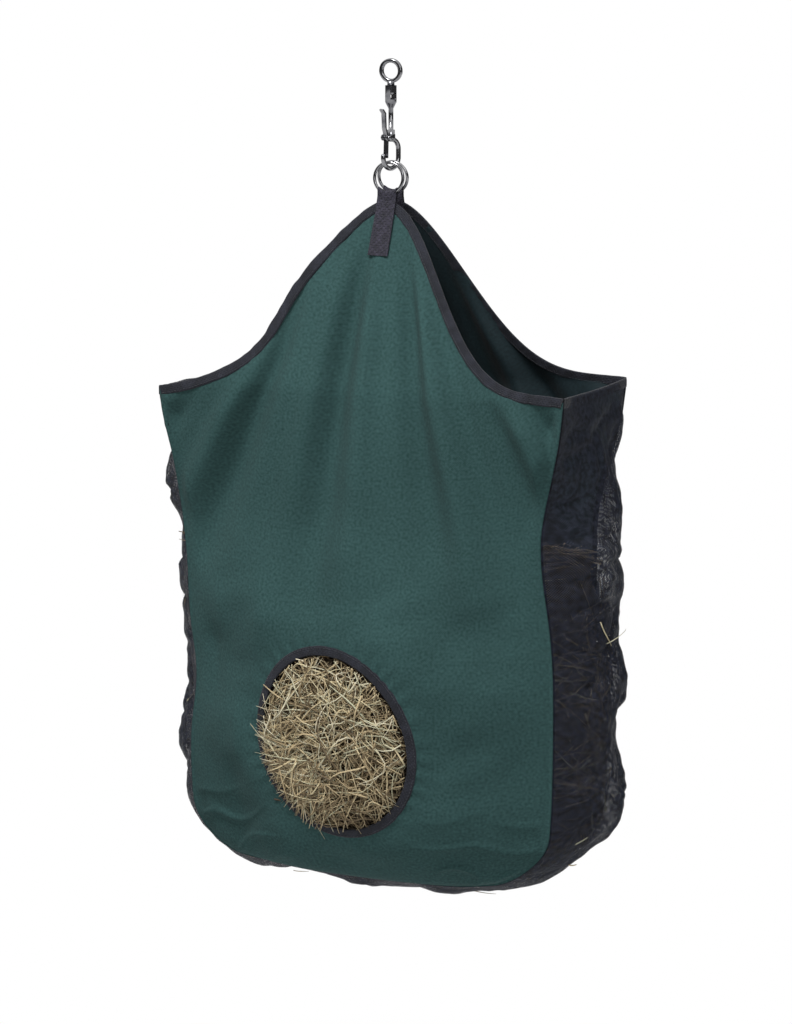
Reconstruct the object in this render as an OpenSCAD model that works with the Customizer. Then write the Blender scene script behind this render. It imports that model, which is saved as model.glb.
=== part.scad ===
// Hanging hay bag: two canvas panels, a mesh gusset and a feed hole, hung from a trigger snap.
// Origin at the centre of the swivel eye's hole. +Z is up, the feed hole faces -Y.

/* [Bag] */
// Width across the two top corners of a panel
bag_w = 555; // [450:1:680]
// Width lower down, where the filled bag draws in
waist_w = 497; // [400:1:620]
// Distance between the panels at the top corners
bag_d = 184; // [150:1:230]
// Distance between the seams lower down
low_d = 144; // [120:1:190]
// Drop from the peak to the top corners
peak_h = 230; // [180:1:290]
// Drop from the peak to the bottom seam
bag_h = 852; // [700:1:1020]
// Drop below the corners over which the bag draws in
draw_in_h = 180; // [120:1:260]
// How far each filled panel swells out past its seams
belly = 104; // [70:1:130]
// How far the gusset swells out at the sides
side_swell = 50; // [25:1:65]
// How far the gusset sags between the bottom seams
bottom_sag = 28; // [10:1:45]
// Radius of the bottom corners of a panel
corner_r = 75; // [50:1:110]
// Half width at which the shoulder curve has fallen most of the way
shoulder_w = 112; // [90:1:135]
// Thickness of the canvas and of the mesh
cloth_t = 1.2; // [0.8:0.1:2]

/* [Hay hole] */
// Width of the hole inside its binding
hole_w = 194; // [150:1:235]
// Height of the hole inside its binding
hole_h = 222; // [180:1:265]
// Drop from the peak to the middle of the hole
hole_drop = 661; // [600:1:690]

/* [Bindings] */
// Visible width of the tape on the top edges
binding_w = 12; // [8:0.5:16]
// Thickness of the folded tape
binding_t = 3.2; // [2.4:0.1:4]
// Visible width of the tape around the hay hole
hole_binding_w = 12; // [8:0.5:16]
// Width of the bound seam between panel and gusset
seam_w = 6; // [4:0.5:8]

/* [Hanging tabs] */
// Width of the webbing
web_w = 25; // [20:1:32]
// Thickness of the webbing
web_t = 1.6; // [1.2:0.1:2.2]
// Length of each tail sewn to its panel, below the peak
tail_h = 66; // [50:1:90]

/* [Rings] */
// Outer diameter of a ring
ring_d = 42; // [38:1:48]
// Wire diameter of a ring
ring_wire = 4; // [3:0.5:4.5]
// Distance between the two rings, centre to centre
ring_pitch = 9; // [8.6:0.1:9.6]

/* [Snap] */
// Diameter of the hook and shank
rod_d = 6; // [5:0.5:6.5]
// Radius of the hook's bend, to the middle of the rod
bend_r = 13; // [12.5:0.5:15]
// Length of the plain shank
shank_l = 30; // [22:1:45]
// Radius of the swivel eye's hole
eye_r = 10; // [8:0.5:13]
// Width of the eye's rim
eye_rim = 5; // [4:0.5:6]
// Turn of the snap about its swivel, at rest
snap_turn = -21; // [-40:1:40]
// Width of the gate strip
gate_w = 6.6; // [5:0.2:7]
// Diameter of the gate's rivet
rivet_d = 3; // [2.4:0.2:3.4]

/* [Hidden] */

gap = 0.3;          // clearance between soft pieces
run = 0.08;         // radial clearance of a running shaft
canvas_green = [0.20, 0.32, 0.31];
mesh_black = [0.11, 0.12, 0.15];
tape_black = [0.19, 0.20, 0.23];
steel = [0.75, 0.76, 0.78];
hay_straw = [0.60, 0.54, 0.40];
thread_black = [0.10, 0.10, 0.12];

// Swivel: the stem hangs from the eye, through the collar, and ends in a peened head.
stem_r = 2.5;
eye_out = eye_r + eye_rim;
eye_t = 4.4;
collar_top = -eye_out - 3;
collar_h = 8;
collar_r = 7;
window_h = 7.4;
head_r = 4.2;
head_h = 3;
cone_h = 8;
body_low = collar_top - collar_h - window_h - 5;
shank_top = body_low - cone_h;
shank_low = shank_top - shank_l;

// Hook: a short arc leads out of the shank, a second one turns down into the horn,
// then the bend carries round to the nose. The lead-in keeps the bend under the swivel.
lead_a = 65;
lead_r = bend_r * cos(lead_a) / (1 - cos(lead_a));
horn_z = shank_low - (lead_r + bend_r) * sin(lead_a);
horn_l = 10;
bend_z = horn_z - horn_l;
nose_l = 3;

// Gate: it turns on the rivet, between two ears, and its end lies inside the nose.
pivot_y = -8;
pivot_z = shank_low - 5;
ear_t = 2;
ear_r = 4;
ear_in = gate_w / 2 + 0.3;
barrel_r = rivet_d / 2 + 1.9;
gate_t = 2;
knuckle_gap = 3.2;
spring_wire = 0.8;
gate_end_y = -bend_r + rod_d / 2 + gate_t / 2 + 0.25;
gate_end_z = bend_z + 0.5;
lever_l = 30;
boss_h = 10;
boss_r = ear_in + 0.6 * ear_t;

// Rings: each lies across the bend, pitch apart, so its wire sits inside the bend's curve.
ring_r = (ring_d - ring_wire) / 2;
ring_y = ring_pitch / 2;
seat_y = ring_y / cos(snap_turn);
seat_r = bend_r - rod_d / 2 - ring_wire / 2 - 3 * gap;
ring_top_z = bend_z - sqrt(seat_r * seat_r - seat_y * seat_y);
ring_z = ring_top_z - ring_r;
ring_low_z = ring_z - ring_r;

// Peaks of the panels hang just under the rings.
peak_z = ring_low_z - 8;
peak_y = ring_y + 4;

// Sampling of the cloth surfaces.
cols = 32;
rows = 12;
rings_round_hole = 7;
gusset_steps = 8;

function mix(a, b, t) = a + (b - a) * t;
function smooth(t) = let (c = max(0, min(1, t))) c * c * (3 - 2 * c);
function unit(v) = v / norm(v);

// Share of the way from the corners' height to fully drawn in.
function drawn(h) = smooth((h - peak_h) / draw_in_h);
function half_w(h) = mix(bag_w, waist_w, drawn(h)) / 2;
function half_d(h) = h < peak_h ? mix(peak_y, bag_d / 2, h / peak_h) : mix(bag_d, low_d, drawn(h)) / 2;

// Drop of the bell-shaped top edge and of the bottom edge, at u from -1 to 1 across the panel.
function top_drop(u) =
    let (x = abs(u) * bag_w / 2)
    peak_h * (0.88 * (1 - exp(-pow(x / shoulder_w, 2.1))) + 0.12 * abs(u));
function bottom_drop(u) =
    let (over = max(0, abs(u) * waist_w / 2 - (waist_w / 2 - corner_r)))
    bag_h - corner_r + sqrt(max(0, corner_r * corner_r - over * over));

// How far a panel stands out past its seams: nothing at the edges, most two thirds down.
function swell(u, h) =
    let (t = max(0, min(1, (h - peak_h) / (bottom_drop(u) - edge_in - peak_h))))
    belly * (1 - u * u) * 2.897 * pow(t, 1.3) * sqrt(1 - t);

// Point of a panel: side is -1 for the front and 1 for the back.
function panel_xyz(side, x, h) =
    let (u = max(-1, min(1, x / (half_w(h) - edge_in))))
    [x, side * (half_d(h) + swell(u, h)), peak_z - h];

// Samples across: closer together near the sides, where the corners curve.
function across(i) = let (s = 2 * i / cols - 1) 0.45 * s + 0.55 * sin(90 * s);
TOP = [for (i = [0 : cols]) let (u = across(i)) [u * bag_w / 2, top_drop(u)]];
BOTTOM = [for (i = [0 : cols]) let (u = across(i)) [u * waist_w / 2, bottom_drop(u)]];
side_low = bag_h - corner_r;
function side_drop(j) = mix(peak_h, side_low, j / rows);

// Unit vector into the panel at point i of an open line of [x, drop] points.
function inward(line, i, turn) =
    let (a = line[max(0, i - 1)], b = line[min(len(line) - 1, i + 1)], d = unit(b - a))
    turn * [-d[1], d[0]];

// The top line moved into the panel by w, its ends kept on the side seams' inner line.
function top_in(w, edge) =
    [for (i = [0 : cols])
        let (p = TOP[i] + w * inward(TOP, i, 1))
        [i == 0 ? -bag_w / 2 + edge : i == cols ? bag_w / 2 - edge : p[0],
         i == 0 || i == cols ? peak_h + w : p[1]]];

// The seam line: down the left side, round the bottom and up the right side, as [x, drop].
SEAM = concat(
    [for (j = [0 : rows - 1]) [-half_w(side_drop(j)), side_drop(j)]],
    [for (i = [0 : cols]) BOTTOM[i]],
    [for (j = [rows - 1 : -1 : 0]) [half_w(side_drop(j)), side_drop(j)]]
);
function seam_out(k) = -inward(SEAM, k, -1);

edge_in = seam_w / 2 + gap;

// Closed solid from a grid of points, wall thick, open or closed across its columns.
module sheet(grid, wall, closed = false) {
    n = len(grid);
    m = len(grid[0]);
    normals = [for (i = [0 : n - 1]) [for (j = [0 : m - 1])
        let (
            p = grid[closed ? (i + n - 1) % n : max(0, i - 1)][j],
            q = grid[closed ? (i + 1) % n : min(n - 1, i + 1)][j],
            r = grid[i][max(0, j - 1)],
            s = grid[i][min(m - 1, j + 1)]
        )
        unit(cross(q - p, s - r))]];
    outer = [for (i = [0 : n - 1]) for (j = [0 : m - 1]) grid[i][j]];
    inner = [for (i = [0 : n - 1]) for (j = [0 : m - 1]) grid[i][j] - wall * normals[i][j]];
    size = n * m;
    last = closed ? n - 1 : n - 2;
    quads = [for (i = [0 : last]) for (j = [0 : m - 2])
        let (a = i * m + j, b = ((i + 1) % n) * m + j)
        [a, b, b + 1, a + 1]];
    skins = concat(
        [for (f = quads) [f[0], f[1], f[2]]],
        [for (f = quads) [f[0], f[2], f[3]]],
        [for (f = quads) [f[2] + size, f[1] + size, f[0] + size]],
        [for (f = quads) [f[3] + size, f[2] + size, f[0] + size]]
    );
    rims = [for (i = [0 : last])
        let (a = i * m, b = ((i + 1) % n) * m)
        each [
            [a, a + size, b + size, b],
            [b + m - 1, b + m - 1 + size, a + m - 1 + size, a + m - 1]
        ]];
    ends = closed ? [] : [for (j = [0 : m - 2])
        let (a = j, b = (n - 1) * m + j)
        each [
            [a + 1, a + 1 + size, a + size, a],
            [b, b + size, b + 1 + size, b + 1]
        ]];
    walls = concat(rims, ends);
    polyhedron(
        concat(outer, inner),
        concat(
            skins,
            [for (f = walls) [f[0], f[1], f[2]]],
            [for (f = walls) [f[0], f[2], f[3]]]
        )
    );
}

// Tape of rectangular section swept along stations, each a list of four corners.
module swept(stations, closed = false) {
    n = len(stations);
    last = closed ? n - 1 : n - 2;
    sides = [for (i = [0 : last]) for (j = [0 : 3])
        let (a = i * 4 + j, b = i * 4 + (j + 1) % 4, c = ((i + 1) % n) * 4)
        each [[a, b, c + (j + 1) % 4], [a, c + (j + 1) % 4, c + j]]];
    caps = closed ? [] : [
        [3, 2, 1], [3, 1, 0],
        [for (j = [0 : 2]) (n - 1) * 4 + j],
        [(n - 1) * 4, (n - 1) * 4 + 2, (n - 1) * 4 + 3]
    ];
    polyhedron([for (s = stations) each s], concat(sides, caps));
}

// ---- hardware ----

module swivel_eye() {
    color(steel) {
        rotate([90, 0, 0])
            rotate_extrude($fn = 72)
                difference() {
                    translate([eye_r + eye_rim / 2, 0])
                        intersection() {
                            square([eye_rim, eye_t + 0.8], center = true);
                            circle(r = eye_rim / 2 + 0.5, $fn = 48);
                        }
                    translate([eye_r - 2, -eye_t])
                        square([2, 2 * eye_t]);
                }
        difference() {
            translate([0, 0, collar_top + 0.15])
                cylinder(r = stem_r + 2, h = -eye_r - 2 - collar_top, $fn = 48);
            rotate([90, 0, 0])
                cylinder(r = eye_r + 1, h = 20, center = true, $fn = 72);
        }
        translate([0, 0, collar_top - collar_h - head_h])
            cylinder(r = stem_r, h = collar_h + head_h + 1, $fn = 48);
        translate([0, 0, collar_top - collar_h - 0.15 - head_h])
            cylinder(r1 = head_r - 1, r2 = head_r, h = head_h, $fn = 48);
    }
}

// Points on an arc of radius r about c, in the hook's own [y, z] plane.
function arc_yz(c, r, a0, a1, n) =
    [for (i = [0 : n]) let (a = mix(a0, a1, i / n)) [c[0] + r * cos(a), c[1] + r * sin(a), rod_d / 2]];

// Middle line of the hook with its radius: out of the boss, round the bend, up to a domed nose.
HOOK = concat(
    [[0, shank_low + 2, rod_d / 2]],
    arc_yz([lead_r, shank_low], lead_r, 180, 180 + lead_a, 8),
    [for (i = [1 : 8]) arc_yz([0, horn_z], bend_r, lead_a, 0, 8)[i]],
    arc_yz([0, bend_z], bend_r, 0, -180, 22),
    [for (t = [0, 30, 55, 75, 88])
        [-bend_r, bend_z + nose_l + rod_d / 2 * sin(t), rod_d / 2 * cos(t)]]
);

// Round rod along a line of [y, z, radius] points.
module bent_rod(line) {
    sides = 20;
    n = len(line);
    points = [for (i = [0 : n - 1])
        let (
            a = line[max(0, i - 1)],
            b = line[min(n - 1, i + 1)],
            d = unit([b[0] - a[0], b[1] - a[1]])
        )
        for (k = [0 : sides - 1])
            let (t = 360 * k / sides, r = line[i][2])
            [r * cos(t), line[i][0] - d[1] * r * sin(t), line[i][1] + d[0] * r * sin(t)]];
    faces = [for (i = [0 : n - 2]) for (k = [0 : sides - 1])
        let (a = i * sides + k, b = i * sides + (k + 1) % sides)
        each [[a, b, a + sides], [b, b + sides, a + sides]]];
    polyhedron(points, concat(
        faces,
        [[for (k = [sides - 1 : -1 : 0]) k]],
        [[for (k = [0 : sides - 1]) (n - 1) * sides + k]]
    ));
}

module snap_body() {
    color(steel)
    rotate([0, 0, snap_turn])
    difference() {
        union() {
            translate([0, 0, body_low])
                cylinder(r = collar_r, h = collar_top - body_low, $fn = 64);
            translate([0, 0, shank_top])
                cylinder(r1 = rod_d / 2, r2 = collar_r, h = cone_h, $fn = 64);
            translate([0, 0, shank_low - 1])
                cylinder(d = rod_d, h = shank_l + 1, $fn = 48);
            bent_rod(HOOK);
            for (side = [-1, 1])
                translate([side * (ear_in + ear_t / 2), 0, pivot_z])
                    rotate([0, 90, 0])
                        linear_extrude(ear_t, center = true)
                            union() {
                                translate([0, pivot_y])
                                    circle(r = ear_r, $fn = 48);
                                translate([-ear_r, pivot_y])
                                    square([2 * ear_r, -pivot_y + 2]);
                            }
            translate([0, 0, pivot_z - boss_h / 2])
                cylinder(r = boss_r, h = boss_h + 4, $fn = 64);
        }
        // slot in which the gate's barrel and both its arms move
        translate([-ear_in, -20, pivot_z - boss_h])
            cube([2 * ear_in, 20 - rod_d / 2 - 0.5, 2 * boss_h]);
        translate([-10, pivot_y, pivot_z])
            rotate([0, 90, 0])
                cylinder(r = rivet_d / 2 + run, h = 20, $fn = 48);
        translate([0, 0, collar_top - collar_h - 1])
            cylinder(r = stem_r + run, h = collar_h + 2, $fn = 48);
        translate([-10, -head_r - 1, collar_top - collar_h - window_h])
            cube([20, 2 * head_r + 2, window_h]);
    }
}

// Points beside a line, w to its left, with mitred corners.
function beside(line, w) =
    [for (i = [0 : len(line) - 1])
        let (
            a = unit(line[max(1, i)] - line[max(0, i - 1)]),
            b = unit(line[min(len(line) - 1, i + 1)] - line[min(len(line) - 2, i)]),
            m = unit([-a[1] - b[1], a[0] + b[0]])
        )
        line[i] + m * w / (m * [-a[1], a[0]])];

// Gate: a bent strip, drawn edge-on in the hook's [y, z] plane about its pivot.
module snap_gate() {
    elbow = [-3.4, 12];
    top = elbow + [-0.8, lever_l - 12];
    tip = top + [-4, 5];
    line = [[gate_end_y - pivot_y, gate_end_z - pivot_z], [0, 0], elbow, top, tip];
    left = beside(line, gate_t / 2);
    right = beside(line, -gate_t / 2);
    arm = unit(line[0]);
    lever = unit(elbow);
    // the barrel bulges out between the arm and the lever on both sides of the strip
    half = asin(gate_t / 2 / barrel_r);
    low = atan2(arm[1], arm[0]);
    up = atan2(lever[1], lever[0]);
    turn = (low - up + 720) % 360;
    facets = 12;
    color(steel)
    rotate([0, 0, snap_turn])
    difference() {
        translate([-gate_w / 2, pivot_y, pivot_z])
            rotate([90, 0, 90])
                linear_extrude(gate_w)
                    polygon(concat(
                        [for (k = [4 : -1 : 2]) left[k]],
                        [for (k = [0 : facets])
                            let (a = mix(up + half, up + turn - half, k / facets))
                            barrel_r * [cos(a), sin(a)]],
                        [left[0], right[0]],
                        [for (k = [0 : facets])
                            let (a = mix(up + turn + half, up + 360 - half, k / facets))
                            barrel_r * [cos(a), sin(a)]],
                        [for (k = [2 : 4]) right[k]]
                    ));
        translate([-10, pivot_y, pivot_z])
            rotate([0, 90, 0])
                cylinder(r = rivet_d / 2 + run, h = 20, $fn = 48);
        // room for the spring between the barrel's two knuckles
        translate([-knuckle_gap / 2, pivot_y, pivot_z])
            rotate([0, 90, 0])
                cylinder(r = barrel_r + 0.3, h = knuckle_gap, $fn = 48);
    }
}

module gate_rivet() {
    color(steel)
    rotate([0, 0, snap_turn])
    translate([0, pivot_y, pivot_z])
    rotate([0, 90, 0]) {
        cylinder(d = rivet_d, h = 2 * (ear_in + ear_t) + 1, center = true, $fn = 48);
        for (side = [0, 1])
            mirror([0, 0, side])
                translate([0, 0, ear_in + ear_t + 0.05])
                    cylinder(r1 = rivet_d, r2 = rivet_d - 0.8, h = 1.3, $fn = 48);
    }
}

// Torsion spring: coils round the rivet, one leg towards the shank, one down the gate's arm.
module gate_spring() {
    coil_r = rivet_d / 2 + 0.25 + spring_wire / 2;
    turns = 3;
    pitch = (knuckle_gap - spring_wire - 2 * gap) / (turns - 1);
    arm_y = gate_t / 2 + spring_wire / 2 + 0.1;
    coil_out = coil_r + spring_wire / 2;
    leg_l = 4.5;
    color(steel)
    rotate([0, 0, snap_turn])
    translate([0, pivot_y, pivot_z]) {
        for (i = [0 : turns - 1])
            translate([(i - (turns - 1) / 2) * pitch, 0, 0])
                rotate([0, 90, 0])
                    rotate_extrude($fn = 48)
                        translate([coil_r, 0])
                            circle(d = spring_wire, $fn = 16);
        translate([pitch * (turns - 1) / 2, coil_out + 0.05, 0])
            rotate([-90, 0, 0])
                cylinder(d = spring_wire, h = barrel_r - coil_out + 0.5, $fn = 16);
        translate([-pitch * (turns - 1) / 2, arm_y, -coil_out - leg_l])
            cylinder(d = spring_wire, h = leg_l, $fn = 16);
    }
}

module ring(side) {
    color(steel)
    translate([0, side * ring_y, ring_z])
        rotate([90, 0, 0])
            rotate_extrude($fn = 96)
                translate([ring_r, 0])
                    circle(d = ring_wire, $fn = 32);
}

module front_ring() { ring(-1); }
module back_ring() { ring(1); }

// ---- hanging tabs ----

// Centre of the webbing loop's section around the ring's wire.
loop_in = ring_wire / 2 + gap;
loop_out = loop_in + web_t;
loop_a = asin(web_w / 2 / ring_r);

// Ply of webbing from the loop down along the panel: offset is its distance out from the panel.
function ply_y(side, h, offset) = side * (half_d(max(h, 0)) + offset);

module ply(side, offset, low) {
    steps = 8;
    y_loop = side * ring_y + sign(offset) * side * (loop_in + web_t / 2);
    lift = abs(offset);
    line = concat(
        [[y_loop, ring_z - ring_r * cos(loop_a) - 0.2], [y_loop, ring_low_z - loop_in - gap]],
        [for (i = [0 : steps])
            let (h = mix(-0.5, low, i / steps))
            [ply_y(side, h, sign(offset) * lift), peak_z - h]]
    );
    swept([for (p = line)
        [[-web_w / 2, p[0] - web_t / 2, p[1]], [web_w / 2, p[0] - web_t / 2, p[1]],
         [web_w / 2, p[0] + web_t / 2, p[1]], [-web_w / 2, p[0] + web_t / 2, p[1]]]]);
}

ply_off = binding_t / 2 + web_t / 2 + gap;

module tab(side) {
    color(tape_black) {
        // the loop over the wire follows the ring's own curve, so that it can slide round it
        translate([0, side * ring_y, ring_z])
            rotate([90, 0, 0])
                rotate_extrude(start = -90 - loop_a, angle = 2 * loop_a, $fn = 96)
                    translate([ring_r, 0])
                        difference() {
                            circle(r = loop_out, $fn = 32);
                            circle(r = loop_in, $fn = 32);
                            translate([0, -loop_out - 1])
                                square([loop_out + 2, 2 * loop_out + 2]);
                        }
        ply(side, ply_off, tail_h);
        ply(side, -ply_off, binding_w + 18);
    }
}

module front_hanging_tab() { tab(-1); }
module back_hanging_tab() { tab(1); }

// Rows of thread across the webbing, just proud of it: a box with a row above and below.
module stitches(side) {
    thread = 0.8;
    pitch = 3.4;
    count = 6;
    out = ply_off + web_t / 2 + thread / 2 + 0.05;
    color(thread_black)
    for (h = [binding_w + 4, tail_h - 6])
        for (i = [0 : count - 1])
            translate([(i - (count - 1) / 2) * pitch, side * (half_d(h) + out), peak_z - h])
                rotate([0, 90, 0])
                    cylinder(d = thread, h = 2.4, center = true, $fn = 16);
}

module front_tab_stitches() { stitches(-1); }
module back_tab_stitches() { stitches(1); }

// ---- bag ----

// The hole's outline grown by w, as [x, drop], at angle a from straight down, clockwise.
function hole_xh(a, w) = [(hole_w / 2 + w) * sin(a), hole_drop + (hole_h / 2 + w) * cos(a)];

// The panel's own outline, inside the tapes: bottom left to right, right side up, top, left side.
TOP_IN = top_in(binding_w + gap, edge_in);
BOTTOM_IN = [for (i = [0 : cols])
    let (k = rows + i)
    SEAM[k] - edge_in * seam_out(k)];
OUTLINE = concat(
    BOTTOM_IN,
    [for (j = [rows - 1 : -1 : 1]) [half_w(side_drop(j)) - edge_in, side_drop(j)]],
    [for (i = [cols : -1 : 0]) TOP_IN[i]],
    [for (j = [1 : rows - 1]) [-half_w(side_drop(j)) + edge_in, side_drop(j)]]
);

// Panel with a hole: a grid of spokes from the hole's edge to the outline.
module front_panel() {
    rim = hole_binding_w + 2.5 * gap;
    grid = [for (p = OUTLINE)
        let (
            v = p - [0, hole_drop],
            a = atan2(v[0] / (hole_w / 2 + rim), v[1] / (hole_h / 2 + rim)),
            q = hole_xh(a, rim)
        )
        [for (j = [0 : rings_round_hole])
            let (t = j / rings_round_hole, w = mix(q, p, t))
            panel_xyz(-1, w[0], w[1])]];
    color(canvas_green)
        sheet(grid, -cloth_t, true);
}

// Shares of the way down at which the back panel is sampled: level with the seam's own points,
// and closer together where the belly tucks under.
trim_h = peak_h + binding_w + gap;
function share(j) = max(0, (side_drop(j) - trim_h) / (side_low - trim_h));
SHARES = concat([0], [for (j = [1 : rows - 1]) share(j)],
    [for (t = [0.4, 0.7, 0.88, 1]) mix(share(rows - 1), 1, t)]);
function to_u(p) = p[0] / (half_w(p[1]) - edge_in);

module back_panel() {
    grid = [for (i = [0 : cols]) [for (v = SHARES)
        let (
            h = mix(TOP_IN[i][1], BOTTOM_IN[i][1], v),
            u = mix(to_u(TOP_IN[i]), to_u(BOTTOM_IN[i]), v)
        )
        panel_xyz(1, u * (half_w(h) - edge_in), h)]];
    color(canvas_green)
        sheet(grid, cloth_t);
}

// Swell of the gusset at point k of the seam line: none at the top corners.
function gusset_swell(k) =
    let (h = SEAM[k][1], flat = abs(seam_out(k)[1]))
    mix(side_swell * drawn(h), bottom_sag, flat);
function gusset_xyz(k, w) =
    let (
        p = SEAM[k] + seam_out(k) * gusset_swell(k) * (1 - w * w),
        half = half_d(SEAM[k][1]) - binding_t / 2 - gap - cloth_t
    )
    [p[0], w * half, peak_z - p[1]];

module mesh_gusset() {
    first = 1;
    last = len(SEAM) - 2;
    trim = binding_w + gap;
    grid = [for (k = [first : last]) [for (j = [0 : gusset_steps])
        let (
            p = gusset_xyz(k, 2 * j / gusset_steps - 1),
            end = k == first || k == last
        )
        end ? [p[0], p[1], peak_z - peak_h - trim] : p]];
    color(mesh_black)
        sheet(grid, cloth_t);
}

// Folded tape on a bell-shaped top edge.
module top_binding(side) {
    inner = top_in(binding_w, edge_in);
    color(tape_black)
        swept([for (i = [0 : cols])
            let (
                a = panel_xyz(side, i == 0 ? inner[0][0] : i == cols ? inner[cols][0] : TOP[i][0], TOP[i][1]),
                b = panel_xyz(side, inner[i][0], inner[i][1]),
                t = [0, binding_t / 2, 0]
            )
            [a - t, a + t, b + t, b - t]]);
}

module front_top_binding() { top_binding(-1); }
module back_top_binding() { top_binding(1); }

// Folded tape on the gusset's top edge, between the two panels' corners.
module gusset_binding(side) {
    half = bag_d / 2 - binding_t / 2 - gap;
    color(tape_black)
        translate([side * bag_w / 2 - binding_t / 2, -half, peak_z - peak_h - binding_w])
            cube([binding_t, 2 * half, binding_w]);
}

module left_gusset_binding() { gusset_binding(-1); }
module right_gusset_binding() { gusset_binding(1); }

// Bound seam that joins a panel to the gusset, down both sides and round the bottom.
module seam_binding(side) {
    color(tape_black)
        swept([for (k = [0 : len(SEAM) - 1])
            let (
                end = k == 0 || k == len(SEAM) - 1,
                p = SEAM[k] + (end ? [0, binding_w + gap] : [0, 0]),
                n = seam_out(k) * seam_w / 2,
                y = side * half_d(p[1]),
                t = binding_t / 2
            )
            [[p[0] - n[0], y - t, peak_z - p[1] + n[1]], [p[0] - n[0], y + t, peak_z - p[1] + n[1]],
             [p[0] + n[0], y + t, peak_z - p[1] - n[1]], [p[0] + n[0], y - t, peak_z - p[1] - n[1]]]]);
}

module front_seam_binding() { seam_binding(-1); }
module back_seam_binding() { seam_binding(1); }

module hay_hole_binding() {
    steps = 48;
    color(tape_black)
        swept([for (i = [0 : steps - 1])
            let (
                a = 360 * i / steps,
                p = hole_xh(a, hole_binding_w),
                q = hole_xh(a, 0),
                o = panel_xyz(-1, p[0], p[1]),
                n = panel_xyz(-1, q[0], q[1]),
                t = [0, binding_t / 2, 0]
            )
            [n - t, n + t, o + t, o - t]], true);
}

// Hay fills the lower bag, clear of the cloth: level rings, each the bag's own section.
hay_top = 436;
hay_gap = 18;
hay_levels = 14;
hay_side = 14;

// Half width of the seam line at a drop, with the rounded bottom corners.
function seam_half(h) =
    let (below = max(0, h - side_low))
    half_w(h) - corner_r + sqrt(max(0, corner_r * corner_r - below * below));

function hay_ring(h) =
    let (
        w = seam_half(h) - 8,
        d = half_d(h),
        out = mix(side_swell * drawn(h), 4, smooth((h - side_low) / corner_r)),
        front = [for (i = [0 : hay_side - 1])
            let (x = w * (2 * i / hay_side - 1))
            [x, -d - swell(x / half_w(h), h) + hay_gap]],
        right = [for (j = [0 : 5])
            let (t = 2 * j / 6 - 1)
            [w + max(0, out - hay_gap) * (1 - t * t), t * (d - hay_gap)]]
    )
    [for (p = concat(front, right)) p];

module hay() {
    half = [for (l = [0 : hay_levels])
        let (h = mix(hay_top, bag_h - 20, l / hay_levels))
        [for (p = hay_ring(h)) [p[0], p[1], peak_z - h]]];
    levels = [for (r = half) concat(r, [for (p = r) [-p[0], -p[1], p[2]]])];
    m = len(levels[0]);
    n = len(levels);
    top_mid = [0, 0, peak_z - hay_top + 12];
    low_mid = [0, 0, peak_z - bag_h - bottom_sag + gap];
    color(hay_straw)
        polyhedron(
            concat([for (r = levels) each r], [top_mid, low_mid]),
            concat(
                [for (i = [0 : n - 2]) for (j = [0 : m - 1])
                    let (a = i * m + j, b = i * m + (j + 1) % m)
                    each [[a, b, b + m], [a, b + m, a + m]]],
                [for (j = [0 : m - 1]) [(j + 1) % m, j, n * m]],
                [for (j = [0 : m - 1]) [(n - 1) * m + j, (n - 1) * m + (j + 1) % m, n * m + 1]]
            )
        );
}

swivel_eye();
snap_body();
snap_gate();
gate_rivet();
gate_spring();
front_ring();
back_ring();
front_hanging_tab();
back_hanging_tab();
front_tab_stitches();
back_tab_stitches();
front_panel();
back_panel();
mesh_gusset();
front_top_binding();
back_top_binding();
left_gusset_binding();
right_gusset_binding();
front_seam_binding();
back_seam_binding();
hay_hole_binding();
hay();
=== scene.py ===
# %% [markdown]
# # A canvas hay bag with mesh sides, on a swivel snap
# The imported model is the fixed frame: every measure below is in metres in its axes. Z is up, the feed
# hole looks along -Y, and the middle of the swivel eye's hole is the origin. Its box is kept before
# anything is added, and printed.

# %% Load the frame
from math import cos, pi, radians, sin

import bmesh
import bpy
import numpy as np
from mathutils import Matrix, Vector


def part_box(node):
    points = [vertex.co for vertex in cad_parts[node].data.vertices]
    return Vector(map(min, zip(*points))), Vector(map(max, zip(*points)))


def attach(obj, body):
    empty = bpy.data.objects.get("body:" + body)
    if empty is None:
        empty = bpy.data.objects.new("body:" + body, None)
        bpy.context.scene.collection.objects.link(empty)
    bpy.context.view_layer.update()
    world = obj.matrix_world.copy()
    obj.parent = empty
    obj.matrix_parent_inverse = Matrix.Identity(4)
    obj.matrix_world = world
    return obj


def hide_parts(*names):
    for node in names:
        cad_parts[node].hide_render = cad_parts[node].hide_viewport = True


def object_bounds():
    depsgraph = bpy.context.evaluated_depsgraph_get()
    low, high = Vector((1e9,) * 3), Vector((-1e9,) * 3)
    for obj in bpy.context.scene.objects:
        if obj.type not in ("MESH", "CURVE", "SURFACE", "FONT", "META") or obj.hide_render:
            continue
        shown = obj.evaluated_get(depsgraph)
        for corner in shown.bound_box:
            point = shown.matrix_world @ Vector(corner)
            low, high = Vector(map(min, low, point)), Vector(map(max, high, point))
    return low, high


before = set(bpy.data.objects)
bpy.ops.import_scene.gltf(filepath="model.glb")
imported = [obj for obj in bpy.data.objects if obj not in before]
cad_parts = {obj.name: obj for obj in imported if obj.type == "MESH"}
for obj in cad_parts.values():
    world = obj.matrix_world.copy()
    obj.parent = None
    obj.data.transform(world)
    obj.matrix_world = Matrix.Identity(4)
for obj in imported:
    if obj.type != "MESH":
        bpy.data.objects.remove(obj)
cad_box = [list(corner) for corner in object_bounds()]
print("CAD box", [[round(v, 3) for v in corner] for corner in cad_box])

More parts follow.
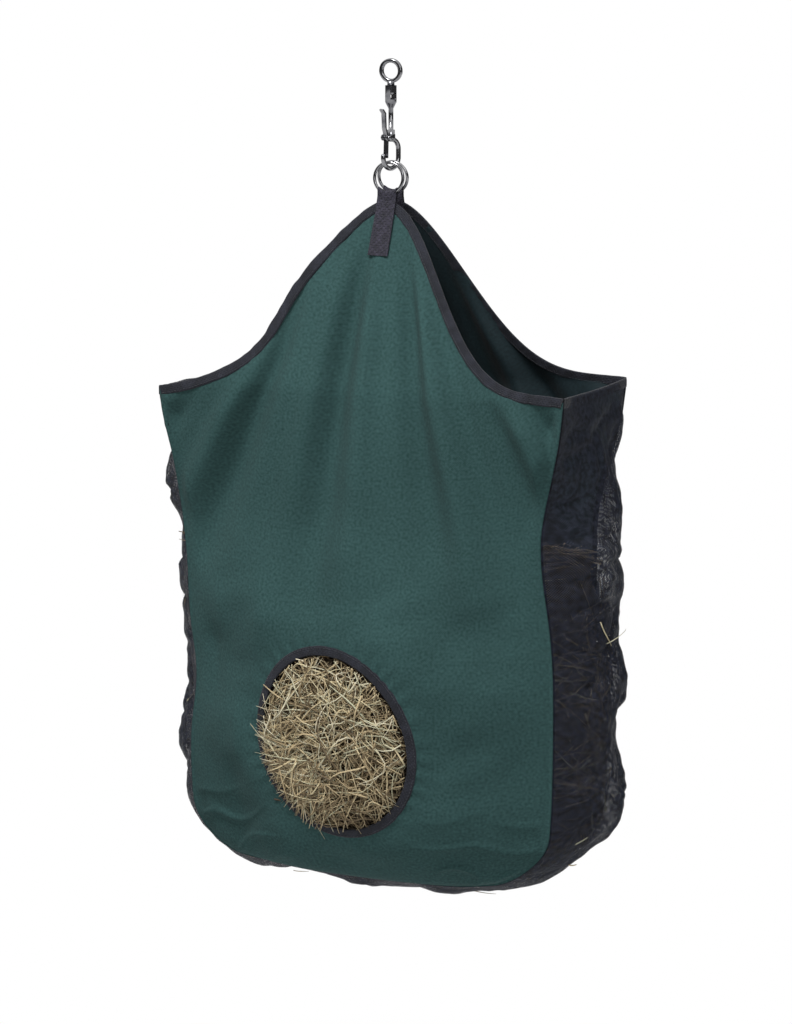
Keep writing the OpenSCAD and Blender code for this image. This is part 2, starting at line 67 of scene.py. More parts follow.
# %% [markdown]
# ## Camera
# A long lens from nearly five metres keeps the bag's sides almost parallel, as a catalogue view does.
# The camera stands 24 degrees to the bag's right and 11 degrees above its middle, level with no tilt.

# %% Camera
AIM_DROP = -0.55
YAW, TILT = radians(24), radians(11)
DISTANCE, LENS = 4.9, 137.8
side_step = 0.00625
aim = Vector((side_step * cos(YAW), side_step * sin(YAW), AIM_DROP))
back = Vector((sin(YAW) * cos(TILT), -cos(YAW) * cos(TILT), sin(TILT)))
camera = bpy.data.objects.new("camera", bpy.data.cameras.new("camera"))
camera.data.lens, camera.data.sensor_width = LENS, 36
camera.location = aim + back * DISTANCE
camera.rotation_euler = (-back).to_track_quat("-Z", "Y").to_euler()
bpy.context.scene.collection.objects.link(camera)
bpy.context.scene.camera = camera
bpy.context.scene.view_settings.view_transform = "Standard"

# %% [markdown]
# ## Light, background and floor
# The bag hangs in a white studio. The world shows white to the eye, and to polished steel a white room
# with a dark stripe at eye height, as a studio's open side looks. It gives the cloth a softer sky
# light. One wide lamp high in front models the folds, a weaker one on the right opens the shadows. The floor lies well below, pale, and still takes the bag's shadow.

# %% World, lamps and floor
SKY = 0.31


def light_seen_directly(tree):
    """1 for rays from the eye, a mirror or glass, and 0 for light that falls on a surface."""
    path = tree.nodes.new("ShaderNodeLightPath")
    first = tree.nodes.new("ShaderNodeMath")
    second = tree.nodes.new("ShaderNodeMath")
    first.operation = second.operation = "MAXIMUM"
    tree.links.new(path.outputs["Is Camera Ray"], first.inputs[0])
    tree.links.new(path.outputs["Is Glossy Ray"], first.inputs[1])
    tree.links.new(first.outputs[0], second.inputs[0])
    tree.links.new(path.outputs["Is Transmission Ray"], second.inputs[1])
    return second.outputs[0]


world = bpy.data.worlds.new("studio")
bpy.context.scene.world = world
world.use_nodes = True
sky = world.node_tree
sky.nodes.clear()
shown, lit = sky.nodes.new("ShaderNodeBackground"), sky.nodes.new("ShaderNodeBackground")
shown.inputs["Color"].default_value = (1, 1, 1, 1)
lit.inputs["Color"].default_value = (0.97, 0.985, 1, 1)
lit.inputs["Strength"].default_value = SKY
choose, out = sky.nodes.new("ShaderNodeMixShader"), sky.nodes.new("ShaderNodeOutputWorld")
toward = sky.nodes.new("ShaderNodeSeparateXYZ")
sky.links.new(sky.nodes.new("ShaderNodeTexCoord").outputs["Generated"], toward.inputs[0])
room = sky.nodes.new("ShaderNodeValToRGB")
stripes = [(0.30, 1.0), (0.42, 0.10), (0.62, 0.06), (0.74, 1.0)]
while len(room.color_ramp.elements) < len(stripes):
    room.color_ramp.elements.new(0.5)
for stop, (at, grey) in zip(room.color_ramp.elements, stripes):
    stop.position, stop.color = at, (grey, grey, grey, 1)
level = sky.nodes.new("ShaderNodeMapRange")
level.inputs["From Min"].default_value, level.inputs["From Max"].default_value = -1.0, 1.0
sky.links.new(toward.outputs["Z"], level.inputs["Value"])
sky.links.new(level.outputs[0], room.inputs[0])
eye = sky.nodes.new("ShaderNodeMix")
eye.data_type = "RGBA"
eye.inputs[7].default_value = (1, 1, 1, 1)
sky.links.new(sky.nodes.new("ShaderNodeLightPath").outputs["Is Camera Ray"], eye.inputs[0])
sky.links.new(room.outputs[0], eye.inputs[6])
sky.links.new(eye.outputs[2], shown.inputs["Color"])
sky.links.new(light_seen_directly(sky), choose.inputs[0])
sky.links.new(lit.outputs[0], choose.inputs[1])
sky.links.new(shown.outputs[0], choose.inputs[2])
sky.links.new(choose.outputs[0], out.inputs[0])


def lamp(name, place, target, size, power):
    """A square soft lamp at place, turned to target."""
    light = bpy.data.lights.new(name, "AREA")
    light.size, light.energy = size, power
    thing = bpy.data.objects.new(name, light)
    thing.location = place
    thing.rotation_euler = (Vector(target) - Vector(place)).to_track_quat("-Z", "Y").to_euler()
    bpy.context.scene.collection.objects.link(thing)
    return thing


lamp("key", (-0.28, -1.65, 2.5), (0, 0, -0.35), 1.1, 112)
lamp("fill", (2.1, -2.9, 0.9), (0, 0, -0.6), 1.8, 27)

FLOOR_Z = cad_box[0][2] - 0.9
floor_mesh = bpy.data.meshes.new("floor")
turn = np.linspace(0, 2 * pi, 96, endpoint=False)
ring_of_points = np.stack([9 * np.cos(turn), 9 * np.sin(turn), np.full(96, FLOOR_Z)], -1)
floor_mesh.from_pydata(ring_of_points.tolist(), [], [list(range(96))])
floor = bpy.data.objects.new("floor", floor_mesh)
bpy.context.scene.collection.objects.link(floor)
pale = bpy.data.materials.new("pale_floor")
pale.use_nodes = True
ground = pale.node_tree
ground.nodes.clear()
matt, glow = ground.nodes.new("ShaderNodeBsdfDiffuse"), ground.nodes.new("ShaderNodeEmission")
matt.inputs["Color"].default_value = (0.80, 0.80, 0.80, 1)
half, keep = ground.nodes.new("ShaderNodeMath"), ground.nodes.new("ShaderNodeMixShader")
half.operation = "MULTIPLY"
spot = ground.nodes.new("ShaderNodeTexCoord")
far = ground.nodes.new("ShaderNodeVectorMath")
far.operation = "LENGTH"
fade = ground.nodes.new("ShaderNodeMapRange")
fade.inputs["From Min"].default_value, fade.inputs["From Max"].default_value = 0.9, 2.2
fade.inputs["To Min"].default_value, fade.inputs["To Max"].default_value = 0.55, 1.0
flat_only = ground.nodes.new("ShaderNodeVectorMath")
flat_only.operation, flat_only.inputs[1].default_value = "MULTIPLY", (1, 1, 0)
ground.links.new(spot.outputs["Object"], flat_only.inputs[0])
ground.links.new(flat_only.outputs[0], far.inputs[0])
ground.links.new(far.outputs["Value"], fade.inputs["Value"])
floor_out = ground.nodes.new("ShaderNodeOutputMaterial")
ground.links.new(light_seen_directly(ground), half.inputs[0])
ground.links.new(fade.outputs[0], half.inputs[1])
ground.links.new(half.outputs[0], keep.inputs[0])
ground.links.new(matt.outputs[0], keep.inputs[1])
ground.links.new(glow.outputs[0], keep.inputs[2])
ground.links.new(keep.outputs[0], floor_out.inputs[0])
floor_mesh.materials.append(pale)
print("floor at", round(FLOOR_Z, 3))

# %% [markdown]
# ## Meshes from arrays
# Each cloth, tape and rod is a grid of points worked out with numpy. One helper turns a grid into a
# mesh with a flat pattern (UV) in metres, closes it where it joins itself, and turns its faces out.

# %% Grid to mesh
def put(name, mesh, body, finish, replaces=()):
    """Link a finished mesh as one piece that rides on a body and stands for CAD nodes."""
    piece = bpy.data.objects.new(name, mesh)
    bpy.context.scene.collection.objects.link(piece)
    mesh.materials.append(finish)
    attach(piece, body)
    if replaces:
        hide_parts(*replaces)
    return piece


def grid_mesh(name, points, pattern, ring=False, tube=False, toward=None, caps=False, soft=True):
    """Quads between neighbouring points of an (n, m, 3) grid. ring joins the last row to the first,
    tube the last column to the first; pattern has one more row or column where the grid is joined.
    Faces point outwards on a closed grid, and along toward on an open one."""
    n, m = points.shape[:2]
    points = settle(points) if soft else points
    i, j = np.meshgrid(np.arange(n if ring else n - 1), np.arange(m if tube else m - 1), indexing="ij")
    i, j = i.ravel(), j.ravel()
    rows = np.stack([i, i + 1, i + 1, i], -1)
    cols = np.stack([j, j, j + 1, j + 1], -1)
    corner = points.reshape(-1, 3)
    faces = (rows % n) * m + cols % m
    p = corner[faces]
    normal = np.cross(p[:, 2] - p[:, 0], p[:, 3] - p[:, 1])
    if toward is None:
        middle = corner.mean(0)
        outward = np.einsum("fk,fk->", normal, p.mean(1) - middle) if not tube else None
        if tube:
            heart = points.mean(1)[rows[:, 0]]
            outward = np.einsum("fk,fk->", normal, p.mean(1) - heart)
    else:
        outward = (normal @ np.array(toward)).sum()
    if outward < 0:
        faces, rows, cols = faces[:, ::-1], rows[:, ::-1], cols[:, ::-1]
    every = faces.tolist()
    flat = pattern[rows, cols].reshape(-1, 2)
    if caps:
        first, last = list(range(m)), list(range((n - 1) * m, n * m))
        every += [first, last[::-1]] if outward < 0 else [first[::-1], last]
        order = [(0, first), (n - 1, last)]
        extra = [pattern[row][[k % m for k in (ids if (outward < 0) == (row == 0) else ids[::-1])]]
                 for row, ids in order]
        flat = np.concatenate([flat, *extra])
    mesh = bpy.data.meshes.new(name)
    mesh.from_pydata(corner.tolist(), [], every)
    layer = mesh.uv_layers.new(name="cloth")
    layer.data.foreach_set("uv", flat.astype(np.float32).ravel())
    mesh.polygons.foreach_set("use_smooth", np.ones(len(every), bool))
    mesh.update()
    return mesh


def thicken(piece, wall, offset=-1.0, inside=None):
    """Give an open sheet its real thickness, and its inner face a finish of its own: the canvas's darker inside,
    painted shade.
    """
    made = piece.modifiers.new("wall", "SOLIDIFY")
    if inside is not None:
        piece.data.materials.append(inside)
        made.material_offset = 1
    made.thickness, made.offset = wall, offset
    made.use_even_offset = False
    return piece


def along(line):
    """Distance along a polyline from its first point to each point."""
    step = np.linalg.norm(np.diff(line, axis=0), axis=1)
    return np.concatenate([[0], np.cumsum(step)])


def even(line, count):
    """The same polyline with count points at even distances along it."""
    line = np.asarray(line, float)
    s = along(line)
    t = np.linspace(0, s[-1], count)
    return np.stack([np.interp(t, s, line[:, k]) for k in range(line.shape[1])], -1)


def unit(v):
    return v / np.linalg.norm(v, axis=-1, keepdims=True)


def smooth(t):
    """Ease from 0 to 1: 3 t squared less 2 t cubed."""
    c = np.clip(t, 0, 1)
    return c * c * (3 - 2 * c)


def ripples(x, h, shortest, longest, count, seed):
    """Sum of plane waves, each with its own direction, length and phase: about -1 to 1."""
    rng = np.random.default_rng(seed)
    number = 2 * pi / rng.uniform(shortest, longest, count)
    way, phase = rng.uniform(0, 2 * pi, count), rng.uniform(0, 2 * pi, count)
    angle = x[..., None] * (number * np.cos(way)) + h[..., None] * (number * np.sin(way)) + phase
    return np.sin(angle).sum(-1) / count ** 0.5


# %% [markdown]
# ## Finishes
# Canvas, tape, webbing and mesh are all woven, so they share one weave group: warp and weft threads
# pass over each other in a checker, and each thread is round. A second group makes the slow cloudy
# change of tone that dye and handling leave. Both read the piece's flat pattern, in metres, so the
# weave follows the cloth. Steel and hay read the object's own coordinates instead.

# %% Node helpers
def srgb(red, green, blue):
    """Colour as a screen shows it, 0 to 255, to the linear values a shader wants."""
    c = np.array([red, green, blue]) / 255
    return (*np.where(c <= 0.04045, c / 12.92, ((c + 0.055) / 1.055) ** 2.4), 1.0)


def feed(tree, socket, value):
    """Link a socket to a socket, or set it to a plain value."""
    if isinstance(value, bpy.types.NodeSocket):
        tree.links.new(value, socket)
    else:
        socket.default_value = value


def calc(tree, operation, first, second=0.0, third=0.0):
    node = tree.nodes.new("ShaderNodeMath")
    node.operation = operation
    feed(tree, node.inputs[0], first)
    feed(tree, node.inputs[1], second)
    if operation in ("MULTIPLY_ADD",):
        feed(tree, node.inputs[2], third)
    return node.outputs[0]


def mix_colour(tree, amount, first, second, how="MIX"):
    node = tree.nodes.new("ShaderNodeMix")
    node.data_type, node.blend_type = "RGBA", how
    feed(tree, node.inputs[0], amount)
    feed(tree, node.inputs[6], first)
    feed(tree, node.inputs[7], second)
    return node.outputs[2]


def noise(tree, place, scale, detail=3.0, rough=0.55):
    node = tree.nodes.new("ShaderNodeTexNoise")
    feed(tree, node.inputs["Vector"], place)
    node.inputs["Scale"].default_value = scale
    node.inputs["Detail"].default_value = detail
    node.inputs["Roughness"].default_value = rough
    return node.outputs["Fac"]


def group(name, takes, gives):
    """An empty node group with named inputs and outputs."""
    made = bpy.data.node_groups.new(name, "ShaderNodeTree")
    for label, kind, value in takes:
        socket = made.interface.new_socket(label, in_out="INPUT", socket_type=kind)
        if value is not None:
            socket.default_value = value
    for label, kind in gives:
        made.interface.new_socket(label, in_out="OUTPUT", socket_type=kind)
    return made, made.nodes.new("NodeGroupInput").outputs, made.nodes.new("NodeGroupOutput").inputs


def place_group(tree, made, **values):
    node = tree.nodes.new("ShaderNodeGroup")
    node.node_tree = made
    for label, value in values.items():
        feed(tree, node.inputs[label.replace("_", " ")], value)
    return node.outputs


# %% Weave, clouds and mesh holes
weave, given, result = group(
    "weave",
    [("Flat", "NodeSocketVector", None), ("Threads", "NodeSocketFloat", 900.0),
     ("Slub", "NodeSocketFloat", 0.3)],
    [("Height", "NodeSocketFloat"), ("Warp on top", "NodeSocketFloat")])
parts = weave.nodes.new("ShaderNodeSeparateXYZ")
feed(weave, parts.inputs[0], given["Flat"])
warp = calc(weave, "MULTIPLY", parts.outputs["X"], given["Threads"])
weft = calc(weave, "MULTIPLY", parts.outputs["Y"], given["Threads"])
round_warp = calc(weave, "ABSOLUTE", calc(weave, "SINE", calc(weave, "MULTIPLY", warp, pi)))
round_weft = calc(weave, "ABSOLUTE", calc(weave, "SINE", calc(weave, "MULTIPLY", weft, pi)))
both = calc(weave, "ADD", calc(weave, "FLOOR", warp), calc(weave, "FLOOR", weft))
over = calc(weave, "PINGPONG", both, 1.0)
under = calc(weave, "SUBTRACT", 1.0, over)
height = calc(weave, "ADD", calc(weave, "MULTIPLY", over, round_warp),
              calc(weave, "MULTIPLY", under, round_weft))
slub = noise(weave, given["Flat"], 420.0, 2.0)
feed(weave, result["Height"], calc(weave, "MULTIPLY_ADD", slub, given["Slub"], height))
feed(weave, result["Warp on top"], over)

clouds, given, result = group(
    "clouds",
    [("Place", "NodeSocketVector", None), ("Colour", "NodeSocketColor", (0.5, 0.5, 0.5, 1)),
     ("Light colour", "NodeSocketColor", (0.6, 0.6, 0.6, 1)),
     ("Dark colour", "NodeSocketColor", (0.4, 0.4, 0.4, 1)), ("Broad", "NodeSocketFloat", 6.0),
     ("Fine", "NodeSocketFloat", 160.0)],
    [("Colour", "NodeSocketColor"), ("Mask", "NodeSocketFloat")])
broad = clouds.nodes.new("ShaderNodeTexNoise")
feed(clouds, broad.inputs["Vector"], given["Place"])
feed(clouds, broad.inputs["Scale"], given["Broad"])
fine = clouds.nodes.new("ShaderNodeTexNoise")
feed(clouds, fine.inputs["Vector"], given["Place"])
feed(clouds, fine.inputs["Scale"], given["Fine"])
spread = clouds.nodes.new("ShaderNodeMapRange")
feed(clouds, spread.inputs["Value"], broad.outputs["Fac"])
spread.inputs["From Min"].default_value, spread.inputs["From Max"].default_value = 0.35, 0.65
lighter = mix_colour(clouds, spread.outputs[0], given["Dark colour"], given["Light colour"])
toned = mix_colour(clouds, 0.5, given["Colour"], lighter)
grain = calc(clouds, "MULTIPLY_ADD", fine.outputs["Fac"], 1.2, 0.4)
shaded = clouds.nodes.new("ShaderNodeVectorMath")
shaded.operation = "SCALE"
feed(clouds, shaded.inputs[0], toned)
feed(clouds, shaded.inputs["Scale"], grain)
feed(clouds, result["Colour"], shaded.outputs[0])
feed(clouds, result["Mask"], broad.outputs["Fac"])

net, given, result = group(
    "net",
    [("Flat", "NodeSocketVector", None), ("Pitch", "NodeSocketFloat", 0.0026),
     ("Hole", "NodeSocketFloat", 0.3)],
    [("Solid", "NodeSocketFloat"), ("Height", "NodeSocketFloat")])


def distance_to_hole(shift):
    """Distance to the nearest hole's middle, in pitches, on a square lattice moved by shift."""
    parts = net.nodes.new("ShaderNodeSeparateXYZ")
    feed(net, parts.inputs[0], given["Flat"])
    squared = []
    for axis, squeeze in (("X", 1.0), ("Y", 0.62)):
        step = calc(net, "DIVIDE", parts.outputs[axis], calc(net, "MULTIPLY", given["Pitch"], squeeze))
        inside = calc(net, "FRACT", calc(net, "ADD", step, shift))
        off = calc(net, "MULTIPLY", calc(net, "SUBTRACT", inside, 0.5), 0.8 + 0.35 * (axis == "X"))
        squared.append(calc(net, "MULTIPLY", off, off))
    return calc(net, "SQRT", calc(net, "ADD", *squared))


nearest = calc(net, "MINIMUM", distance_to_hole(1000.0), distance_to_hole(1000.5))
feed(net, result["Solid"], calc(net, "GREATER_THAN", nearest, given["Hole"]))
feed(net, result["Height"], nearest)


# %% Finish recipes
def new_finish(name, coordinate):
    """A material with its Principled shader and one source of coordinates."""
    made = bpy.data.materials.new(name)
    made.use_nodes = True
    tree = made.node_tree
    shader = tree.nodes["Principled BSDF"]
    source = tree.nodes.new("ShaderNodeTexCoord").outputs[coordinate]
    return made, tree, shader, source


def bump(tree, shader, height, strength, distance):
    node = tree.nodes.new("ShaderNodeBump")
    node.inputs["Strength"].default_value = strength
    node.inputs["Distance"].default_value = distance
    feed(tree, node.inputs["Height"], height)
    feed(tree, shader.inputs["Normal"], node.outputs[0])


def cloth(name, colour, light, dark, threads, rough, relief, broad=6.0, sheen=0.25, slub=0.3, contrast=1.0,
          gloss=0.25):
    """Woven cloth: cloudy dye, warp a little lighter than weft, round threads as bump, and painted shade that darkens
    the colour in the grooves between threads.
    """
    made, tree, shader, flat = new_finish(name, "UV")
    tone = place_group(tree, clouds, Place=flat, Colour=colour, Light_colour=light,
                       Dark_colour=dark, Broad=broad, Fine=threads * 0.35)
    woven = place_group(tree, weave, Flat=flat, Threads=threads, Slub=slub)
    lift = calc(tree, "MULTIPLY_ADD", woven["Warp on top"], 0.16 * contrast, 1 - 0.08 * contrast)
    # Painted shade: the colour darkens where the thread's height falls, in the grooves between threads.
    depth = calc(tree, "MULTIPLY_ADD", woven["Height"], 0.22 * contrast, 1 - 0.20 * contrast)
    scaled = tree.nodes.new("ShaderNodeVectorMath")
    scaled.operation = "SCALE"
    feed(tree, scaled.inputs[0], tone["Colour"])
    feed(tree, scaled.inputs["Scale"], calc(tree, "MULTIPLY", lift, depth))
    feed(tree, shader.inputs["Base Color"], scaled.outputs[0])
    feed(tree, shader.inputs["Roughness"], calc(tree, "MULTIPLY_ADD", tone["Mask"], 0.15, rough - 0.07))
    shader.inputs["Sheen Weight"].default_value = sheen
    shader.inputs["Sheen Roughness"].default_value = 0.5
    shader.inputs["Specular IOR Level"].default_value = gloss
    bump(tree, shader, woven["Height"], relief, 0.0004)
    return made, tree, shader, flat


canvas = cloth("green_canvas", srgb(55, 82, 81), srgb(60, 89, 88), srgb(49, 74, 73),
               900.0, 0.85, 0.55, sheen=0.02, gloss=0.05)[0]
# The canvas's inner face is darker than its outside: painted shade inside the bag.
canvas_inside_shade = cloth("canvas_inside_painted_shade", srgb(30, 44, 48), srgb(35, 50, 54), srgb(25, 37, 42),
               900.0, 0.60, 0.35, sheen=0.05, gloss=0.15)[0]
tape = cloth("black_tape", srgb(25, 27, 35), srgb(42, 44, 54), srgb(14, 16, 23),
             420.0, 0.75, 1.0, broad=40.0, sheen=0.12, slub=0.8, contrast=1.5)[0]
seam_tape = cloth("dark_seam_tape", srgb(20, 22, 28), srgb(28, 30, 38), srgb(13, 14, 20),
                  420.0, 0.80, 1.0, broad=40.0, sheen=0.03, slub=0.8, contrast=1.5, gloss=0.08)[0]
webbing = cloth("black_webbing", srgb(33, 32, 42), srgb(54, 51, 64), srgb(18, 18, 26),
                330.0, 0.70, 1.0, broad=150.0, sheen=0.12, slub=1.2, contrast=2.4)[0]
thread = cloth("black_thread", srgb(46, 48, 58), srgb(60, 63, 70), srgb(26, 28, 34),
               1500.0, 0.6, 0.5, broad=90.0, sheen=0.2)[0]

mesh_cloth, tree, shader, flat = new_finish("black_mesh", "UV")
open_net = place_group(tree, net, Flat=flat, Pitch=0.0030, Hole=0.235)
# The mesh's lighter patches are partly random tone of the yarn and partly painted glints where the yarn catches light.
tone = place_group(tree, clouds, Place=flat, Colour=srgb(19, 22, 31), Light_colour=srgb(58, 63, 80),
                   Dark_colour=srgb(9, 10, 16), Broad=170.0, Fine=400.0)
feed(tree, shader.inputs["Base Color"], tone["Colour"])
feed(tree, shader.inputs["Alpha"], open_net["Solid"])
shader.inputs["Roughness"].default_value = 0.6
shader.inputs["Specular IOR Level"].default_value = 0.22
bump(tree, shader, open_net["Height"], 0.35, 0.0006)

steel, tree, shader, place = new_finish("polished_steel", "Object")
brushed = noise(tree, place, 900.0, 2.0)
# Painted reflection: dark and light patches in the steel's colour stand in for the dark and bright things polished
# steel reflects.
reflection_patches = noise(tree, place, 60.0, 4.0)
feed(tree, shader.inputs["Base Color"],
     mix_colour(tree, calc(tree, "MULTIPLY_ADD", reflection_patches, 2.4, -0.7), srgb(84, 85, 90), srgb(168, 168, 170)))
feed(tree, shader.inputs["Roughness"], calc(tree, "MULTIPLY_ADD", brushed, 0.14, 0.08))
shader.inputs["Metallic"].default_value = 1.0
bump(tree, shader, brushed, 0.15, 0.0001)

hay_finish, tree, shader, place = new_finish("dry_hay", "Object")
tone_of_stalk = tree.nodes.new("ShaderNodeAttribute")
tone_of_stalk.attribute_name = "tone"
ramp = tree.nodes.new("ShaderNodeValToRGB")
stops = [(0.0, srgb(40, 32, 24)), (0.2, srgb(112, 96, 70)), (0.45, srgb(192, 172, 134)),
         (0.68, srgb(226, 208, 166)), (0.84, srgb(202, 202, 172)), (1.0, srgb(252, 242, 212))]
while len(ramp.color_ramp.elements) < len(stops):
    ramp.color_ramp.elements.new(0.5)
for stop, (at, colour) in zip(ramp.color_ramp.elements, stops):
    stop.position, stop.color = at, colour
feed(tree, ramp.inputs[0], tone_of_stalk.outputs["Fac"])
streak = noise(tree, place, 260.0, 3.0)
feed(tree, shader.inputs["Base Color"],
     mix_colour(tree, calc(tree, "MULTIPLY", streak, 0.3), ramp.outputs[0], srgb(124, 104, 78)))
feed(tree, shader.inputs["Roughness"], calc(tree, "MULTIPLY_ADD", streak, 0.3, 0.5))
bump(tree, shader, streak, 0.5, 0.0004)
print("finishes", [m.name for m in bpy.data.materials])

# %% [markdown]
# ## The bag's form
# A full bag hangs from its two peaks. Its top edges are bell curves, its sides draw in below the
# corners, and the charge pushes front and back out in a belly. Every point is found from x, across
# the bag, and h, the drop below the peaks. Canvas, tapes and stitches all call these functions, so
# that they meet exactly.

# %% Form of the bag
PEAK_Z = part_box("front_top_binding")[1].z
BAG_W, WAIST_W, BAG_D, LOW_D = 0.555, 0.497, 0.184, 0.144
PEAK_H, BAG_H, DRAW_IN, BELLY = 0.230, 0.852, 0.180, 0.104
SIDE_SWELL, SAG, CORNER, SHOULDER = 0.050, 0.028, 0.075, 0.112
HOLE_W, HOLE_H, HOLE_DROP, HOLE_X, HOLE_LEAN = 0.193, 0.212, 0.652, -0.005, 0.08
TAPE_W, TAPE_T, SEAM_W, WALL = 0.012, 0.0032, 0.006, 0.0011
PEAK_Y = 0.0085
EDGE = SEAM_W / 2 + 0.0003
SIDE_LOW = BAG_H - CORNER


def half_width(h):
    return (BAG_W + (WAIST_W - BAG_W) * smooth((h - PEAK_H) / DRAW_IN)) / 2


def half_depth(h):
    upper = PEAK_Y + (BAG_D / 2 - PEAK_Y) * np.clip(h / PEAK_H, 0, 1)
    lower = (BAG_D + (LOW_D - BAG_D) * smooth((h - PEAK_H) / DRAW_IN)) / 2
    return np.where(h < PEAK_H, upper, lower)


def top_drop(u):
    """Bell-shaped edge: flat at the peak, steep on the shoulder, level at the corners."""
    reach = (np.abs(u) * BAG_W / 2 / SHOULDER) ** 2.1
    return PEAK_H * (0.88 * (1 - np.exp(-reach)) + 0.12 * np.abs(u))


def bottom_drop(u):
    """Straight bottom edge with a quarter circle at each end."""
    past = np.maximum(0, np.abs(u) * WAIST_W / 2 - (WAIST_W / 2 - CORNER))
    return SIDE_LOW + np.sqrt(np.maximum(0, CORNER ** 2 - past ** 2))


def swell(u, h):
    """Belly: nothing at the seams and corners, most two thirds of the way down."""
    t = np.clip((h - PEAK_H) / (bottom_drop(u) - EDGE - PEAK_H), 0, 1)
    return BELLY * (1 - u * u) * 2.897 * t ** 1.3 * np.sqrt(1 - t)


def panel(side, x, h, out=0.0):
    """Point of the front (side -1) or back (side 1) panel, moved out by out metres."""
    u = np.clip(x / (half_width(h) - EDGE), -1, 1)
    return np.stack([x, side * (half_depth(h) + swell(u, h) + out), PEAK_Z - h], -1)


PULLS = [  # middle, reach, shift: the bag never hangs quite even
    ((-0.105, -0.045, PEAK_Z - 0.100), (0.075, 0.070, 0.085), (-0.018, 0.000, 0.003)),
    ((0.290, 0.000, PEAK_Z - 0.230), (0.090, 0.250, 0.100), (0.000, 0.000, 0.015)),
    ((-0.277, 0.092, PEAK_Z - 0.230), (0.100, 0.090, 0.100), (0.006, -0.024, -0.013)),
    ((-0.280, -0.092, PEAK_Z - 0.235), (0.070, 0.070, 0.070), (0.002, 0.000, -0.006)),
    ((-0.200, -0.050, PEAK_Z - 0.190), (0.050, 0.070, 0.060), (0.000, 0.000, 0.006)),
    ((-0.260, -0.100, PEAK_Z - 0.385), (0.080, 0.065, 0.055), (-0.009, 0.000, 0.000)),
    ((-0.270, -0.020, PEAK_Z - 0.605), (0.120, 0.160, 0.060), (0.012, 0.000, 0.000)),
    ((-0.270, 0.000, PEAK_Z - 0.850), (0.130, 0.300, 0.110), (0.006, 0.000, 0.022)),
    ((0.285, -0.092, PEAK_Z - 0.250), (0.090, 0.090, 0.100), (-0.011, 0.000, 0.000)),
    ((0.265, -0.095, PEAK_Z - 0.410), (0.100, 0.080, 0.095), (-0.018, -0.004, 0.000)),
    ((0.270, 0.050, PEAK_Z - 0.855), (0.120, 0.120, 0.110), (-0.013, 0.000, 0.030)),
    ((0.245, -0.075, PEAK_Z - 0.860), (0.090, 0.080, 0.070), (-0.005, 0.000, 0.011)),
    ((0.000, 0.000, PEAK_Z - 0.880), (0.260, 0.300, 0.080), (0.000, 0.000, 0.006)),
]


def settle(points):
    """Each pull moves the cloth near its middle by its shift, and dies away as a bell curve."""
    moved = points.copy()
    for middle, reach, shift in PULLS:
        away = (points - np.array(middle)) / np.array(reach)
        moved += np.exp(-(away ** 2).sum(-1, keepdims=True)) * np.array(shift)
    return moved


across = np.linspace(-1, 1, 801)
across = 0.45 * across + 0.55 * np.sin(pi / 2 * across)
TOP = np.stack([across * BAG_W / 2, top_drop(across)], -1)
BOTTOM = np.stack([across * WAIST_W / 2, bottom_drop(across)], -1)
side_h = np.linspace(PEAK_H, SIDE_LOW, 400)
LEFT = np.stack([-half_width(side_h), side_h], -1)
SEAM = np.concatenate([LEFT[:-1], BOTTOM, (LEFT * [-1, 1])[::-1][1:]])
print("seam length", round(along(SEAM)[-1], 3), "top edge", round(along(TOP)[-1], 3))


def relief(x, h, edge):
    """How far the cloth stands out of its plain form: long folds that fan from the peak, soft lumps
    where hay presses, and short sharp creases in the bottom corners. edge is the distance to the
    nearest tape, where all of it dies away."""
    fan = np.sin(23 * x / (h + 0.11) + 0.7) + 0.5 * np.sin(41 * x / (h + 0.11) + 2.1)
    hanging = 0.0115 * fan * smooth((h - 0.03) / 0.14) * smooth((0.62 - h) / 0.34)
    full = smooth((h - 0.36) / 0.16)
    lumps = full * (0.0060 * ripples(x, h, 0.11, 0.26, 12, 3) + 0.0010 * ripples(x, h, 0.03, 0.07, 22, 4))
    low = smooth((h - 0.71) / 0.10) * smooth((np.abs(x) - 0.05) / 0.12)
    ridge = 1 - np.abs(ripples(x + 0.35 * h, 1.5 * h - 0.5 * np.abs(x), 0.07, 0.15, 9, 8))
    creases = 0.0085 * low * np.clip(ridge, -0.6, 1) ** 3
    return (hanging + lumps) * smooth(edge / 0.05) + creases * smooth(edge / 0.022)


# %% [markdown]
# ## Front canvas
# The front is one piece of canvas with an oval feed hole. Its grid runs from the hole's rim out to
# the panel's outline like spokes, so that the cloth meets both edges without a ragged step, and it is
# fine enough to carry the folds as real shape. The cloth puckers a little round the stitched hole.

# %% Front canvas
def hole_line(angle, grow):
    """Egg round the feed hole, grown by grow, as x and drop: an ellipse that is a little fuller at
    its upper left and lower right, because the sewn cloth has been pulled that way."""
    full = 1 + HOLE_LEAN * np.sin(2 * angle)
    return np.stack([HOLE_X + (HOLE_W / 2 * full + grow) * np.sin(angle),
                     HOLE_DROP + (HOLE_H / 2 * full + grow) * np.cos(angle)], -1)


def outline():
    """The panel's own outline, its edges inside the tapes."""
    tucked = 0.004
    top = TOP + [0, tucked]
    return np.concatenate([SEAM[SEAM[:, 1] > PEAK_H + tucked], top[::-1]])


